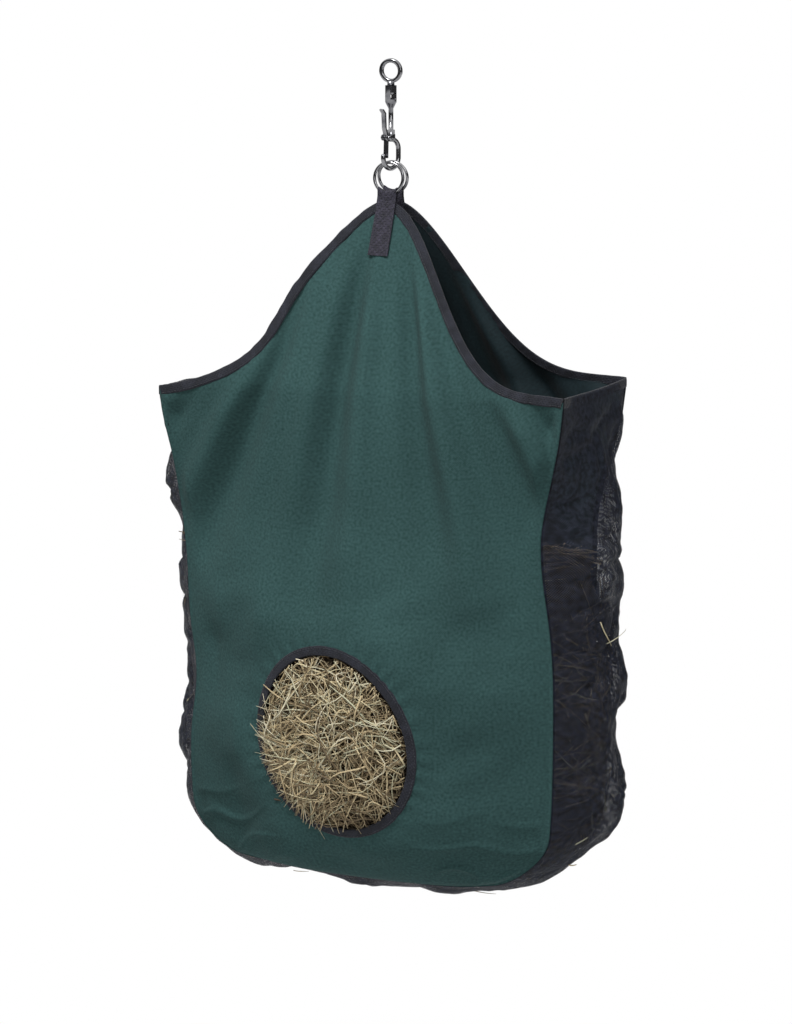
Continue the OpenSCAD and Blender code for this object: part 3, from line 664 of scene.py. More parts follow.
SPOKES, RINGS = 520, 74
rim = even(np.vstack([outline(), outline()[:1]]), SPOKES + 1)[:-1]
hole_grow = TAPE_W * 0.55
offset = rim - [HOLE_X, HOLE_DROP]
spoke = np.arctan2(offset[:, 0] / (HOLE_W / 2 + hole_grow), offset[:, 1] / (HOLE_H / 2 + hole_grow))
start = hole_line(spoke, hole_grow)
t = np.linspace(0, 1, RINGS)[None, :, None]
flat_front = start[:, None] + (rim - start)[:, None] * t
span = np.linalg.norm(rim - start, axis=1)[:, None]
edge = np.minimum(t[..., 0] * span, (1 - t[..., 0]) * span)
xs, hs = flat_front[..., 0], flat_front[..., 1]
near_hole = np.exp(-((t[..., 0] * span) / 0.022) ** 2) * smooth(t[..., 0] * span / 0.006)
pucker = 0.0011 * np.sin(spoke[:, None] * 34 + 2 * np.sin(spoke[:, None] * 5)) * near_hole
front_points = panel(-1, xs, hs, relief(xs, hs, edge) + pucker)
pattern = np.concatenate([flat_front, flat_front[:1]])
front_canvas = put("front_canvas",
                   grid_mesh("front_canvas", front_points, pattern, ring=True, toward=(0, -1, 0)),
                   "bag", canvas, ["front_panel"])
thicken(front_canvas, WALL, inside=canvas_inside_shade)
print("front canvas", len(front_canvas.data.polygons), "quads")

# %% [markdown]
# ## Back canvas
# The back is cut to the same outline without the hole. It is a plain grid, straight across from seam
# to seam, that narrows to the peak at the top and to the rounded corners at the bottom.

# %% Back canvas
u = np.linspace(-1, 1, 181)
u = (0.45 * u + 0.55 * np.sin(pi / 2 * u))[:, None]
v = np.linspace(0, 1, 170)
v = (0.5 * v + 0.5 * np.sin(pi / 2 * v))[None, :]
hs = (top_drop(u) + 0.004) * (1 - v) + (bottom_drop(u) - 0.001) * v
reach = np.where(v < 1, half_width(hs), WAIST_W / 2)
xs = u * reach
edge = np.minimum(np.minimum((1 - np.abs(u)) * reach, (hs - top_drop(u))), bottom_drop(u) - hs)
back_points = panel(1, xs, hs, relief(-xs, hs, edge) * 0.9)
back_canvas = put("back_canvas",
                  grid_mesh("back_canvas", back_points, np.stack([xs, hs], -1), toward=(0, 1, 0)),
                  "bag", canvas, ["back_panel"])
thicken(back_canvas, WALL, inside=canvas_inside_shade)
print("back canvas", len(back_canvas.data.polygons), "quads")

# %% [markdown]
# ## Mesh gusset
# One long strip of open polyester mesh joins front to back down both sides and under the bottom. It
# is looser than the canvas, so it bellies out between the seams, dimples over the hay and folds into
# sharp creases. Its holes are cut by the finish, in a staggered pattern on the strip's own flat.

# %% Mesh gusset
K, W = 460, 46


def px_side(line):
    """-1 on the left of the bag and 1 on the right, changing smoothly under the bottom."""
    return np.clip(line[:, :1] / 0.15, -1, 1)


seam_line = even(SEAM, K)
seam_way = unit(np.gradient(seam_line, axis=0))
seam_out = np.stack([-seam_way[:, 1], seam_way[:, 0]], -1)
w = np.linspace(-1, 1, W)[None, :]
h_line, s_line = seam_line[:, 1][:, None], along(seam_line)[:, None]
under = np.abs(seam_out[:, 1])[:, None]
bulge = SIDE_SWELL * smooth((h_line - PEAK_H) / DRAW_IN) * (1 - under) + SAG * under
room = smooth((1 - np.abs(w)) / 0.35)
depth = w * (half_depth(h_line) - 0.0008)
hanging = smooth((h_line - PEAK_H - 0.01) / 0.05)
loose = 0.0075 * ripples(s_line + 0 * w, depth + 0 * s_line, 0.07, 0.16, 14, 21)
crease = 1 - np.abs(ripples(s_line + 0.6 * depth, 1.6 * depth - 0.2 * s_line, 0.08, 0.17, 7, 27))
crease = 0.0075 * np.clip(crease, -0.5, 1) ** 3
fine_dents = 0.0016 * ripples(s_line + 0 * w, depth + 0 * s_line, 0.018, 0.04, 26, 33)
hollow = 0.004 * smooth((0.50 - h_line) / 0.10)
slack = 0.013 * px_side(seam_line) * smooth((h_line - 0.30) / 0.14) * (1 - under)
out_by = (bulge + slack) * (1 - w * w) + (loose - crease + fine_dents + hollow) * room * hanging * (1 - 0.5 * under)
px = seam_line[:, 0][:, None] + seam_out[:, 0][:, None] * out_by
ph = h_line + seam_out[:, 1][:, None] * out_by
ph = np.maximum(ph, PEAK_H + 0.004)
gusset_points = np.stack([px, depth + 0 * px, PEAK_Z - ph], -1)
mesh_piece = put("mesh_side_strip",
                 grid_mesh("mesh_side_strip", gusset_points,
                           np.stack([s_line + 0 * w, depth * 1.1 + 0 * s_line], -1), toward=(0, 0, -1)),
                 "bag", mesh_cloth, ["mesh_gusset"])
thicken(mesh_piece, 0.0006)
print("mesh strip", len(mesh_piece.data.polygons), "quads")

# %% [markdown]
# ## Folded tapes
# Raw edges are closed with black tape folded over them and sewn. A tape is one soft rectangular
# section carried along its edge: its width lies in the cloth, its thickness across it, and both
# tremble slightly, because sewn tape is never quite straight.

# %% Tapes
def soft_section(width, thick, count=20):
    """Rounded rectangle: a circle's points raised to a small power towards the corners."""
    a = np.linspace(0, 2 * pi, count, endpoint=False) + pi / count
    c, s = np.cos(a), np.sin(a)
    return np.stack([np.sign(c) * np.abs(c) ** 0.45 * width / 2, np.sign(s) * np.abs(s) ** 0.6 * thick / 2], -1)


def run_tape(name, middle, in_cloth, across_cloth, width, thick, nodes, ring=False, seed=1, finish=tape):
    """Section carried along middle: a along in_cloth, b along across_cloth, with a faint tremble."""
    n = len(middle)
    s = along(middle)
    s_all = np.append(s, s[-1] + np.linalg.norm(middle[0] - middle[-1])) if ring else s
    section = soft_section(width, thick)
    wave = ripples(s, 0 * s, 0.012, 0.05, 14, seed)
    if ring:
        wave = wave * smooth(np.minimum(s, s[-1] - s) / 0.02)
    a = section[None, :, 0] * (1 + 0.035 * wave[:, None])
    b = section[None, :, 1] * (1 + 0.06 * wave[:, None]) + 0.00035 * wave[:, None]
    points = middle[:, None] + in_cloth[:, None] * a[..., None] + across_cloth[:, None] * b[..., None]
    girth = along(np.vstack([section, section[:1]]))
    flat = np.stack(np.broadcast_arrays(s_all[:, None], girth[None, :]), -1)
    mesh = grid_mesh(name, points, flat, ring=ring, tube=True, caps=not ring)
    return put(name, mesh, "bag", finish, nodes)


def edge_frame(outer, inner):
    """Middle line of a tape between two lines on the cloth, and the tape's two directions."""
    middle = (outer + inner) / 2
    in_cloth = unit(outer - inner)
    way = unit(np.gradient(middle, axis=0))
    return middle, in_cloth, unit(np.cross(way, in_cloth))


top_even = even(TOP, 300)
top_way = unit(np.gradient(top_even, axis=0))
top_in = np.stack([-top_way[:, 1], top_way[:, 0]], -1)
top_inner = top_even + top_in * TAPE_W
top_inner[:, 0] = np.clip(top_inner[:, 0], -BAG_W / 2 + EDGE, BAG_W / 2 - EDGE)
top_inner[[0, -1], 1] = PEAK_H + TAPE_W
tapes, top_frames = [], {}
for side, label in ((-1, "front"), (1, "back")):
    frame_of_edge = edge_frame(panel(side, top_even[:, 0], top_even[:, 1]),
                               panel(side, top_inner[:, 0], top_inner[:, 1]))
    top_frames[side] = frame_of_edge
    tapes.append(run_tape(f"{label}_top_tape", *frame_of_edge, TAPE_W, TAPE_T,
                          [f"{label}_top_binding"], seed=5 + side))

gusset_frames = {}
for side, label in ((-1, "left"), (1, "right")):
    y = np.linspace(-BAG_D / 2 + TAPE_T / 2, BAG_D / 2 - TAPE_T / 2, 60)
    sink = 0.004 * (1 - (y / (BAG_D / 2)) ** 2)
    middle = np.stack([side * (BAG_W / 2 - sink * 0.8), y, PEAK_Z - PEAK_H - TAPE_W / 2 - sink], -1)
    upward = np.tile([0.0, 0.0, 1.0], (60, 1))
    outward = np.tile([float(side), 0.0, 0.0], (60, 1))
    gusset_frames[side] = (middle, upward, outward)
    tapes.append(run_tape(f"{label}_side_tape", middle, upward, outward, TAPE_W, TAPE_T,
                          [f"{label}_gusset_binding"], seed=12 + side))

seam_frames = {}
for side, label in ((-1, "front"), (1, "back")):
    line = even(SEAM[(SEAM[:, 1] > PEAK_H + TAPE_W)], 620)
    way = unit(np.gradient(line, axis=0))
    y = side * half_depth(line[:, 1])
    middle = np.stack([line[:, 0], y, PEAK_Z - line[:, 1]], -1)
    outward = np.stack([-way[:, 1], 0 * y, -way[:, 0]], -1)
    deep = np.tile([0.0, float(side), 0.0], (len(line), 1))
    outward = outward * np.sign((outward[0] * [np.sign(line[0, 0]), 0, 0]).sum())
    middle = middle - deep * 0.0032 - outward * 0.0018
    seam_frames[side] = (middle, outward, deep)
    tapes.append(run_tape(f"{label}_seam_tape", middle, outward, deep, SEAM_W, TAPE_T,
                          [f"{label}_seam_binding"], seed=31 + side, finish=seam_tape))

angle = np.linspace(0, 2 * pi, 241)[:-1]
outer, inner = hole_line(angle, TAPE_W), hole_line(angle, 0)
closed = [np.vstack([p[-1:], p, p[:1]]) for p in (panel(-1, *outer.T), panel(-1, *inner.T))]
hole_frame = [f[1:-1] for f in edge_frame(*closed)]
hole_tape = run_tape("feed_hole_tape", *hole_frame, TAPE_W, TAPE_T, ["hay_hole_binding"], ring=True, seed=44)
tapes.append(hole_tape)
print("tapes", [t.name for t in tapes])

# %% [markdown]
# ## Thread
# Lockstitch shows as a row of short rounded dashes that dip into the tape at both ends. All the
# dashes of one row are one mesh. Each dash has four sides and four stations, because there are
# thousands of them.

# %% Strands: stitches and stalks
def strands(name, points, radius, sides, lean, tone=None):
    """Many thin closed tubes at once. points is (count, stations, 3), radius (count, stations), and
    lean (count, 3) a direction that is never along a strand, from which its section is measured."""
    points = settle(points)
    count, stations = points.shape[:2]
    way = unit(np.gradient(points, axis=1))
    a = unit(np.cross(way, lean[:, None]))
    b = np.cross(way, a)
    turn = np.arange(sides) * 2 * pi / sides
    ring = (a[:, :, None] * np.cos(turn)[:, None] + b[:, :, None] * np.sin(turn)[:, None])
    skin = points[:, :, None] + ring * radius[:, :, None, None]
    base = (np.arange(count) * stations * sides)[:, None, None]
    s, k = np.meshgrid(np.arange(stations - 1), np.arange(sides), indexing="ij")
    q = np.stack([s * sides + k, s * sides + (k + 1) % sides,
                  (s + 1) * sides + (k + 1) % sides, (s + 1) * sides + k], -1).reshape(-1, 4)
    quads = (base + q[None]).reshape(-1, 4)
    first, last = np.arange(sides)[::-1], (stations - 1) * sides + np.arange(sides)
    ends = (base + np.stack([first, last])[None]).reshape(-1, sides)
    mesh = bpy.data.meshes.new(name)
    mesh.from_pydata(skin.reshape(-1, 3).tolist(), [], quads.tolist() + ends.tolist())
    mesh.polygons.foreach_set("use_smooth", np.ones(len(mesh.polygons), bool))
    layer = mesh.uv_layers.new(name="cloth")
    where = np.empty(len(mesh.loops), np.int32)
    mesh.loops.foreach_get("vertex_index", where)
    reach = np.cumsum(np.r_[0, np.full(stations - 1, 0.001)])
    flat = np.stack(np.broadcast_arrays(reach[None, :, None], (turn * 0.001)[None, None, :]), -1)
    flat = np.broadcast_to(flat, (count, stations, sides, 2)).reshape(-1, 2)
    layer.data.foreach_set("uv", flat[where].astype(np.float32).ravel())
    if tone is not None:
        shade = mesh.attributes.new("tone", "FLOAT", "POINT")
        shade.data.foreach_set("value", np.repeat(tone, stations * sides).astype(np.float32))
    mesh.update()
    return mesh


def stitch_row(line, proud, pitch=0.0042, dash=0.0031, thick=0.00042):
    """Dashes along a line: middles at even steps, both ends sunk below the surface."""
    s = along(line)
    starts = np.arange(pitch / 2, s[-1] - dash, pitch)
    at = starts[:, None] + dash * np.array([0, 0.25, 0.75, 1.0])[None]
    points = np.stack([np.interp(at, s, line[:, k]) for k in range(3)], -1)
    face = np.stack([np.interp(at[:, 1], s, proud[:, k]) for k in range(3)], -1)
    lift = np.array([-0.0004, 0.00012, 0.00012, -0.0004])
    points = points + face[:, None] * lift[None, :, None]
    radius = np.broadcast_to(np.array([0.6, 1.0, 1.0, 0.6]) * thick, points.shape[:2])
    return points, radius, face


def sew(name, rows, body, nodes=()):
    points, radius, face = (np.concatenate([row[k] for row in rows]) for k in range(3))
    mesh = strands(name, points, radius, 4, unit(face))
    return put(name, mesh, body, thread, nodes)


rows = []
for side in (-1, 1):
    middle, in_cloth, normal = top_frames[side]
    for face in (1, -1):
        rows.append(stitch_row(middle - in_cloth * 0.0036 + normal * face * TAPE_T / 2, normal * face))
for side in (-1, 1):
    middle, in_cloth, normal = gusset_frames[side]
    rows.append(stitch_row(middle - in_cloth * 0.0034 + normal * TAPE_T / 2, normal))
middle, in_cloth, normal = hole_frame
outside = normal * np.sign((normal @ np.array([0, -1, 0])).sum())
rows.append(stitch_row(middle + in_cloth * 0.0034 + outside * TAPE_T / 2, outside))
edge_thread = sew("edge_thread", rows, "bag")
print("edge stitches", len(edge_thread.data.polygons) // 14)

# %% [markdown]
# ## Webbing tabs
# Each peak hangs from a short length of 25 mm webbing. It goes up the outside of the canvas, over the
# ring's wire and down the inside, and is sewn through. The strap is one flat section carried along
# that path; where it bears on the ring it takes the ring's own curve across its width.

# %% Tabs
WEB_W, WEB_T, TAIL_H, INSIDE_H = 0.025, 0.0017, 0.066, 0.030
low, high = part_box("front_ring")
RING_R = (high.z - low.z) / 2 - (high.y - low.y) / 2
RING_WIRE = high.y - low.y
RING_Y, RING_Z = abs(high.y + low.y) / 2, (high.z + low.z) / 2
WRAP = RING_WIRE / 2 + 0.0003 + WEB_T / 2
PLY = TAPE_T / 2 + WEB_T / 2 + 0.0003
print("ring radius", round(RING_R, 4), "wire", round(RING_WIRE, 4), "height", round(RING_Z, 4))


def strap_section(width, thick, count=12):
    """Flat strap with half-round edges: a row above, a row below and three points at each edge."""
    r = thick / 2
    row = np.linspace(-width / 2 + r, width / 2 - r, count)
    bend = np.radians([60, 0, -60])
    right = np.stack([width / 2 - r + r * np.cos(bend), r * np.sin(bend)], -1)
    upper, lower = np.stack([row, 0 * row + r], -1), np.stack([row[::-1], 0 * row - r], -1)
    return np.concatenate([upper, right, lower, right[::-1] * [-1, 1]])


SPLAY = np.arcsin((PEAK_Y - RING_Y) / (2 * RING_R))


def splay(points, side):
    """Turns a ring about its top, where it bears on the hook, until its bottom is over the peak."""
    top = np.array([0, side * RING_Y, RING_Z + RING_R])
    y, z = points[..., 1] - top[1], points[..., 2] - top[2]
    c, s = np.cos(SPLAY), side * np.sin(SPLAY)
    return np.stack([points[..., 0], top[1] + y * c - z * s, top[2] + z * c + y * s], -1)


def tab_path(side):
    """Up the outside, a half turn over the wire, down the inside, as y and z; then eased."""
    h = np.linspace(TAIL_H, -0.0005, 40)
    outer = np.stack([side * (half_depth(np.maximum(h, 0)) + PLY), PEAK_Z - h], -1)
    a = np.linspace(-0.35, pi + 0.35, 40)
    wire = splay(np.array([0, side * RING_Y, RING_Z - RING_R]), side)[1:]
    over = wire + np.stack([side * WRAP * np.cos(a), WRAP * np.sin(a)], -1)
    h = np.linspace(-0.0005, INSIDE_H, 24)
    inner = np.stack([side * (half_depth(np.maximum(h, 0)) - PLY), PEAK_Z - h], -1)
    path = even(np.concatenate([outer, over, inner]), 150)
    eased = path.copy()
    for _ in range(3):
        eased[1:-1] = (eased[:-2] + 2 * eased[1:-1] + eased[2:]) / 4
    bearing = np.exp(-(np.maximum(0, wire[1] - 0.004 - eased[:, 1]) / 0.016) ** 2)
    return eased, bearing


section = strap_section(WEB_W, WEB_T)
girth = along(np.vstack([section, section[:1]]))
tabs, tab_faces = {}, {}
for side, label in ((-1, "front"), (1, "back")):
    path, bearing = tab_path(side)
    way = unit(np.gradient(path, axis=0))
    normal = np.stack([-way[:, 1], way[:, 0]], -1)
    x = section[None, :, 0] + 0 * bearing[:, None]
    curve = (RING_R - np.sqrt(RING_R ** 2 - x ** 2)) * bearing[:, None]
    y = path[:, :1] + normal[:, :1] * section[None, :, 1]
    z = path[:, 1:] + normal[:, 1:] * section[None, :, 1] + curve
    points = np.stack([x, y, z], -1)
    flat = np.stack(np.broadcast_arrays(girth[None, :], along(path)[:, None]), -1)
    tabs[side] = put(f"{label}_tab", grid_mesh(f"{label}_tab", points, flat, tube=True, caps=True),
                     "bag", webbing, [f"{label}_hanging_tab"])

CROSS_ROWS = (0.006, TAPE_W + 0.006, TAIL_H - 0.006)
for side, label in ((-1, "front"), (1, "back")):
    rows = []
    outside = np.array([0.0, float(side), 0.0])
    for h in CROSS_ROWS:
        x = np.linspace(-WEB_W / 2 + 0.0015, WEB_W / 2 - 0.0015, 20)
        h = h + 0 * x
        y = side * (half_depth(h) + PLY + WEB_T / 2)
        rows.append(stitch_row(np.stack([x, y, PEAK_Z - h], -1), np.tile(outside, (20, 1)), pitch=0.0034,
                               dash=0.0026))
    for x0 in (-WEB_W / 2 + 0.0022, WEB_W / 2 - 0.0022):
        h = np.linspace(CROSS_ROWS[0], CROSS_ROWS[2], 60)
        y = side * (half_depth(h) + PLY + WEB_T / 2)
        rows.append(stitch_row(np.stack([x0 + 0 * h, y, PEAK_Z - h], -1), np.tile(outside, (60, 1)),
                               pitch=0.0038, dash=0.0028))
    sew(f"{label}_tab_thread", rows, "bag", [f"{label}_tab_stitches"])
print("tabs", [t.name for t in tabs.values()])

# %% [markdown]
# ## Steel
# The rings are welded wire, so each is a plain torus. The snap, its gate, rivet, spring and swivel
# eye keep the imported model's own shape: each is a merged copy with smooth shading between its faces
# and crisp edges where two faces really meet at an angle.

# %% Rings and snap
for label, body in (("front", "ring_front"), ("back", "ring_back")):
    low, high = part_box(f"{label}_ring")
    around, round_wire = np.linspace(0, 2 * pi, 145)[:-1, None], np.linspace(0, 2 * pi, 37)[None, :-1]
    r = RING_R + RING_WIRE / 2 * np.cos(round_wire)
    points = np.stack([r * np.sin(around), (high.y + low.y) / 2 + RING_WIRE / 2 * np.sin(round_wire) + 0 * around,
                       RING_Z + r * np.cos(around)], -1)
    flat = np.stack(np.broadcast_arrays(np.linspace(0, 2 * pi * RING_R, 145)[:, None],
                                        np.linspace(0, pi * RING_WIRE, 37)[None, :]), -1)
    points = splay(points, -1 if label == "front" else 1)
    put(f"{label}_steel_ring", grid_mesh(f"{label}_steel_ring", points, flat, ring=True, tube=True, soft=False),
        body, steel, [f"{label}_ring"])

for node, body in (("swivel_eye", "eye"), ("snap_body", "snap"), ("gate_rivet", "snap"),
                   ("snap_gate", "gate"), ("gate_spring", "gate")):
    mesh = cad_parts[node].data.copy()
    mesh.name = f"{node}_steel"
    mesh.materials.clear()
    loose = bmesh.new()
    loose.from_mesh(mesh)
    bmesh.ops.remove_doubles(loose, verts=loose.verts, dist=1e-6)
    bmesh.ops.dissolve_degenerate(loose, edges=loose.edges, dist=1e-6)
    loose.to_mesh(mesh)
    loose.free()
    mesh.polygons.foreach_set("use_smooth", np.ones(len(mesh.polygons), bool))
    mesh.set_sharp_from_angle(angle=radians(32))
    put(f"{node}_steel", mesh, body, steel, [node])

# %% [markdown]
# ## Hay
# Hay is thousands of thin, bent, dry stalks. A dark lumpy core fills the middle of the charge, where
# nothing is seen but shadow, and real stalks cover it where it shows: in the feed hole, on top, and
# behind the mesh. Each stalk is a three-sided tube that tapers, with one tone from the ramp.

# %% Hay core
HAY_TOP_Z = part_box("hay")[1].z
HAY_TOP = PEAK_Z - HAY_TOP_Z + 0.012


def seam_half(h):
    """Half the width between the seams at a drop, with the rounded bottom corners."""
    below = np.clip(h - SIDE_LOW, 0, CORNER * 0.999)
    return half_width(h) - CORNER + np.sqrt(CORNER ** 2 - below ** 2)


def bag_section(h, inset):
    """Closed outline of the bag at each drop: front belly, right swell, back belly, left swell."""
    w, d = seam_half(h), half_depth(h)
    u = np.linspace(-1, 1, 61)[None, :-1]
    v = np.linspace(-1, 1, 25)[None, :-1]
    side = SIDE_SWELL * smooth((h - PEAK_H) / DRAW_IN)
    belly = d + swell(u * w / half_width(h), h)
    xs = np.concatenate([w * u, w + side * (1 - v * v), -w * u, -w - side * (1 - v * v)], 1)
    ys = np.concatenate([-belly, d * v, belly, -d * v], 1)
    deep = d + swell(0 * h, h)
    return xs * (1 - inset / (w + side)), ys * (1 - inset / deep)


crown = np.linspace(0.03, 1, 12)
drops = np.concatenate([HAY_TOP - 0.010 * (1 - crown ** 2), np.linspace(HAY_TOP, BAG_H - 0.024, 46)[1:-1],
                        BAG_H - 0.024 + 0.012 * (1 - crown[::-1] ** 2)])[:, None]
shrink = np.concatenate([crown, np.ones(44), crown[::-1]])[:, None]
xs, ys = bag_section(drops, 0.030)
xs, ys = xs * shrink, ys * shrink
zs = PEAK_Z - drops + 0 * xs
lump = 1 + 0.030 * ripples(xs + 2.2 * ys, drops + ys, 0.03, 0.09, 20, 51) * (drops < BAG_H - 0.05)
points = np.stack([xs * lump, ys * lump, zs + 0.004 * ripples(xs, ys, 0.02, 0.06, 16, 52) * (shrink < 1)], -1)
flat = np.stack([np.pad(xs, ((0, 0), (0, 1)), mode="wrap"), np.pad(zs, ((0, 0), (0, 1)), mode="wrap")], -1)
core_mesh = grid_mesh("hay_core", points, flat, tube=True, caps=True)
shade = core_mesh.attributes.new("tone", "FLOAT", "POINT")
rng = np.random.default_rng(7)
shade.data.foreach_set("value", rng.uniform(0.0, 0.14, len(core_mesh.vertices)).astype(np.float32))
hay_core = put("hay_core", core_mesh, "bag", hay_finish, ["hay"])


# %% Stalks
def stalks(name, mapping, along_at, across_at, deep_at, length, heading, tilt, rng, thin=1.0, bent=0.10, reach=None,
           painted_shade=0.0):
    """Tapering bent stalks in a surface's own measures: along and across it, and deep below it.
    mapping turns the three measures into points. reach clips each stalk's two half lengths, and the
    last argument darkens stalks that lie in shadow, as painted shade."""
    count = len(along_at)
    t = np.linspace(-0.5, 0.5, 6)[None]
    ends = (-length / 2, length / 2) if reach is None else reach
    middle, long = (ends[0] + ends[1]) / 2, ends[1] - ends[0]
    run = middle[:, None] + long[:, None] * t
    bow = (long * rng.normal(0, bent, count))[:, None] * (4 * t * t - 1)
    kink = (long * rng.normal(0, bent * 0.35, count))[:, None] * np.sin(2 * pi * t + rng.uniform(0, 6, count)[:, None])
    c, s = np.cos(heading)[:, None], np.sin(heading)[:, None]
    side = bow + kink
    first = along_at[:, None] + run * c - side * s
    second = across_at[:, None] + run * s + side * c
    down = deep_at[:, None] + run * tilt[:, None] + (long * rng.normal(0, 0.03, count))[:, None] * (4 * t * t - 1)
    points = mapping(first, second, down)
    thick = rng.choice([0.5, 0.8, 1.15, 1.6], count, p=[0.25, 0.35, 0.28, 0.12]) * 0.001 * thin
    radius = thick[:, None] * (1.0 - 0.75 * np.abs(t + 0.5 - 0.15) ** 1.5)
    lean = unit(rng.normal(0, 1, (count, 3)))
    tone = (0.12 + 0.88 * rng.beta(0.9, 0.8, count)) * (1 - painted_shade)
    mesh = strands(name, points, radius, 3, lean, tone)
    return put(name, mesh, "bag", hay_finish)


rng = np.random.default_rng(11)
COUNT = 3400
spot = np.sqrt(rng.uniform(0, 1, COUNT)) * 0.97
round_at = rng.uniform(0, 2 * pi, COUNT)
HX, HH = HOLE_W / 2 - 0.001, HOLE_H / 2 - 0.001
x0, h0 = HX * spot * np.sin(round_at), HH * spot * np.cos(round_at)
SHALLOW = 1100
deep = np.concatenate([rng.uniform(-0.006, 0.008, SHALLOW), rng.uniform(0.008, 0.030, COUNT - SHALLOW)])
length = rng.uniform(0.018, 0.085, COUNT)
heading = rng.normal(-0.5, 0.9, COUNT) + pi * rng.integers(0, 2, COUNT)
px, ph = np.cos(heading) / HX, np.sin(heading) / HH
a, b, c = px ** 2 + ph ** 2, x0 / HX * px + h0 / HH * ph, (x0 / HX) ** 2 + (h0 / HH) ** 2 - 1
root = np.sqrt(b * b - a * c)
free = deep > 0.008
near = np.where(free, -length / 2, np.maximum(-length / 2, 0.97 * (-b - root) / a))
far = np.where(free, length / 2, np.minimum(length / 2, 0.97 * (-b + root) / a))


def in_hole(x, h, down):
    """Inside the feed hole: across and down from its middle, with the rim's lean, and in from the
    cloth; a stalk stands at most 6 mm proud of the cloth."""
    full = 1 + HOLE_LEAN * np.sin(2 * np.arctan2(x / HX, h / HH))
    return panel(-1, HOLE_X + x * full, HOLE_DROP + h * full, np.minimum(-down, 0.006))


# Painted shade: stalks deeper in the hole and those in its lower part are darker.
stalks("hay_in_feed_hole", in_hole, x0, h0, deep, length, heading,
       np.where(free, 0.12, 0.16) * rng.normal(0, 1, COUNT), rng, thin=0.85, bent=0.16, reach=(near, far),
       painted_shade=np.minimum(0.95, 0.92 * smooth((deep + 0.001) / 0.012) + 0.22 * smooth(h0 / HH)))

OVER = 190
tufts = np.radians([-112, -98, -86, -74, -64, -52, -44, -34, -24, -14, 4, 28, 50])
share = np.array([4, 8, 14, 14, 14, 14, 14, 14, 12, 8, 5, 4, 3.0])
turn = rng.choice(tufts, OVER, p=share / share.sum()) + rng.normal(0, radians(5), OVER)
rim_x, rim_h = HX * np.sin(turn), HH * np.cos(turn)
heading = np.arctan2(rim_h / HH ** 2, rim_x / HX ** 2) + rng.normal(0, 0.5, OVER)
stick_out = rng.uniform(0.001, 0.015, OVER) * np.where(turn < 0, 1.0, 0.6)
stick_out[:8] += 0.013
inside = rng.uniform(0.04, 0.09, OVER)
stalks("hay_over_the_edge", in_hole, rim_x, rim_h, np.full(OVER, -0.0042), inside, heading, np.full(OVER, -0.05), rng, thin=0.9, bent=0.04,
       reach=(-inside, stick_out))

COUNT = 1900
x0 = rng.uniform(-0.92, 0.92, COUNT) * half_width(np.array(HAY_TOP))
y0 = rng.uniform(-0.85, 0.85, COUNT)


def on_top(x, share, down):
    """Across the top of the charge: x, a share of the depth from front to back, and down."""
    wide = half_width(np.array(HAY_TOP)) + 0.024
    x = np.clip(x, -wide, wide)
    u = np.clip(x / half_width(np.array(HAY_TOP)), -0.999, 0.999)
    deep = np.where(np.abs(x) < wide - 0.026, half_depth(np.array(HAY_TOP)) + swell(u, HAY_TOP), 0.066)
    deep = deep - 0.020
    y = np.clip(share / 0.09 * deep, -deep, deep)
    rise = 0.010 * (1 - np.clip((x / wide) ** 2 + (y / deep) ** 2, 0, 1))
    return np.stack([x, y, PEAK_Z - HAY_TOP + rise - down], -1)


# Painted shade: every stalk on top is darkened, as under the bag's walls.
stalks("hay_on_top", on_top, x0, y0 * 0.09, rng.uniform(-0.006, 0.012, COUNT), rng.uniform(0.04, 0.15, COUNT),
       rng.uniform(0, 2 * pi, COUNT), rng.normal(0, 0.05, COUNT), rng, painted_shade=0.45)


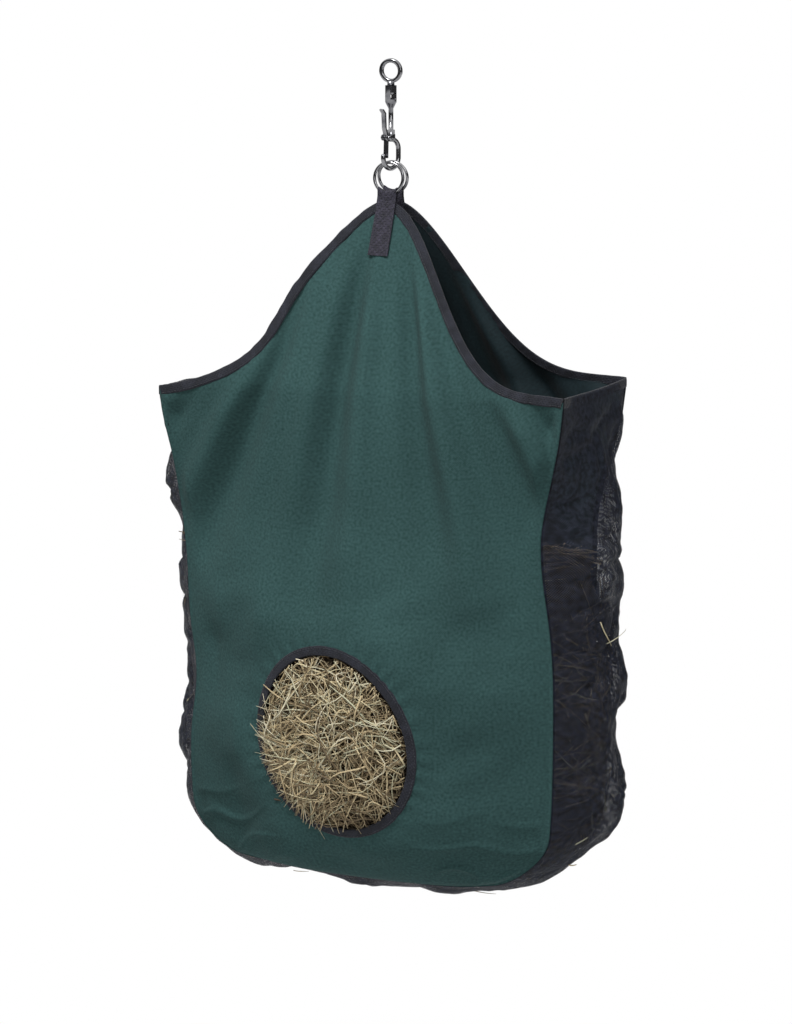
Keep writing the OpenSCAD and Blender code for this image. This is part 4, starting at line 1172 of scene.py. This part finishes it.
def behind_mesh(s, y, down):
    """Inside the mesh strip: s along the seam line, y across the strip, down inwards from it."""
    total = along(seam_line)
    s = np.clip(s, 0, total[-1])
    line_x, line_h = np.interp(s, total, seam_line[:, 0]), np.interp(s, total, seam_line[:, 1])
    out_x, out_h = np.interp(s, total, seam_out[:, 0]), np.interp(s, total, seam_out[:, 1])
    half = half_depth(line_h) - 0.004
    y = np.clip(y, -half, half)
    flatness = np.abs(out_h)
    grown = SIDE_SWELL * smooth((line_h - PEAK_H) / DRAW_IN) * (1 - flatness) + SAG * flatness
    grown = grown + 0.013 * np.clip(line_x / 0.15, -1, 1) * smooth((line_h - 0.30) / 0.14) * (1 - flatness)
    out_by = grown * (1 - (y / half) ** 2) - down
    return np.stack([line_x + out_x * out_by, y, PEAK_Z - (line_h + out_h * out_by)], -1)


COUNT = 2300
total = along(seam_line)[-1]
first = HAY_TOP - PEAK_H + 0.06
s0 = rng.uniform(first, total - first, COUNT)
y0 = rng.uniform(-0.9, 0.9, COUNT) * LOW_D / 2
# Painted shade: patches of the stalks behind the mesh are darkened.
shadow = smooth(0.5 - 0.8 * ripples(s0, y0, 0.05, 0.12, 9, 61))
stalks("hay_behind_mesh", behind_mesh, s0, y0,
       rng.uniform(0.016, 0.030, COUNT), rng.uniform(0.03, 0.09, COUNT), rng.uniform(0, 2 * pi, COUNT),
       rng.normal(0, 0.03, COUNT), rng, painted_shade=0.10 + 0.75 * shadow)

POKE = 26
s0 = rng.uniform(first, total - first, POKE)
long = rng.uniform(0.020, 0.045, POKE)
stalks("hay_through_mesh", behind_mesh, s0, rng.uniform(-0.7, 0.7, POKE) * LOW_D / 2,
       rng.uniform(0.000, 0.006, POKE), long, rng.uniform(0, 2 * pi, POKE),
       rng.normal(0, 0.16, POKE), rng, thin=0.8, bent=0.03)

# %% [markdown]
# ## Cloth facts
# Each sheet's area is printed. The panels are cut from 0.60 by 0.95 m of canvas, less the curved
# shoulders; the mesh is one strip, 0.20 m wide.

# %% Sheets
def cloth_area(piece):
    total = np.empty(len(piece.data.polygons))
    piece.data.polygons.foreach_get("area", total)
    return round(float(total.sum()), 4)


print("cloth areas", {p.name: cloth_area(p) for p in (front_canvas, back_canvas, mesh_piece)})
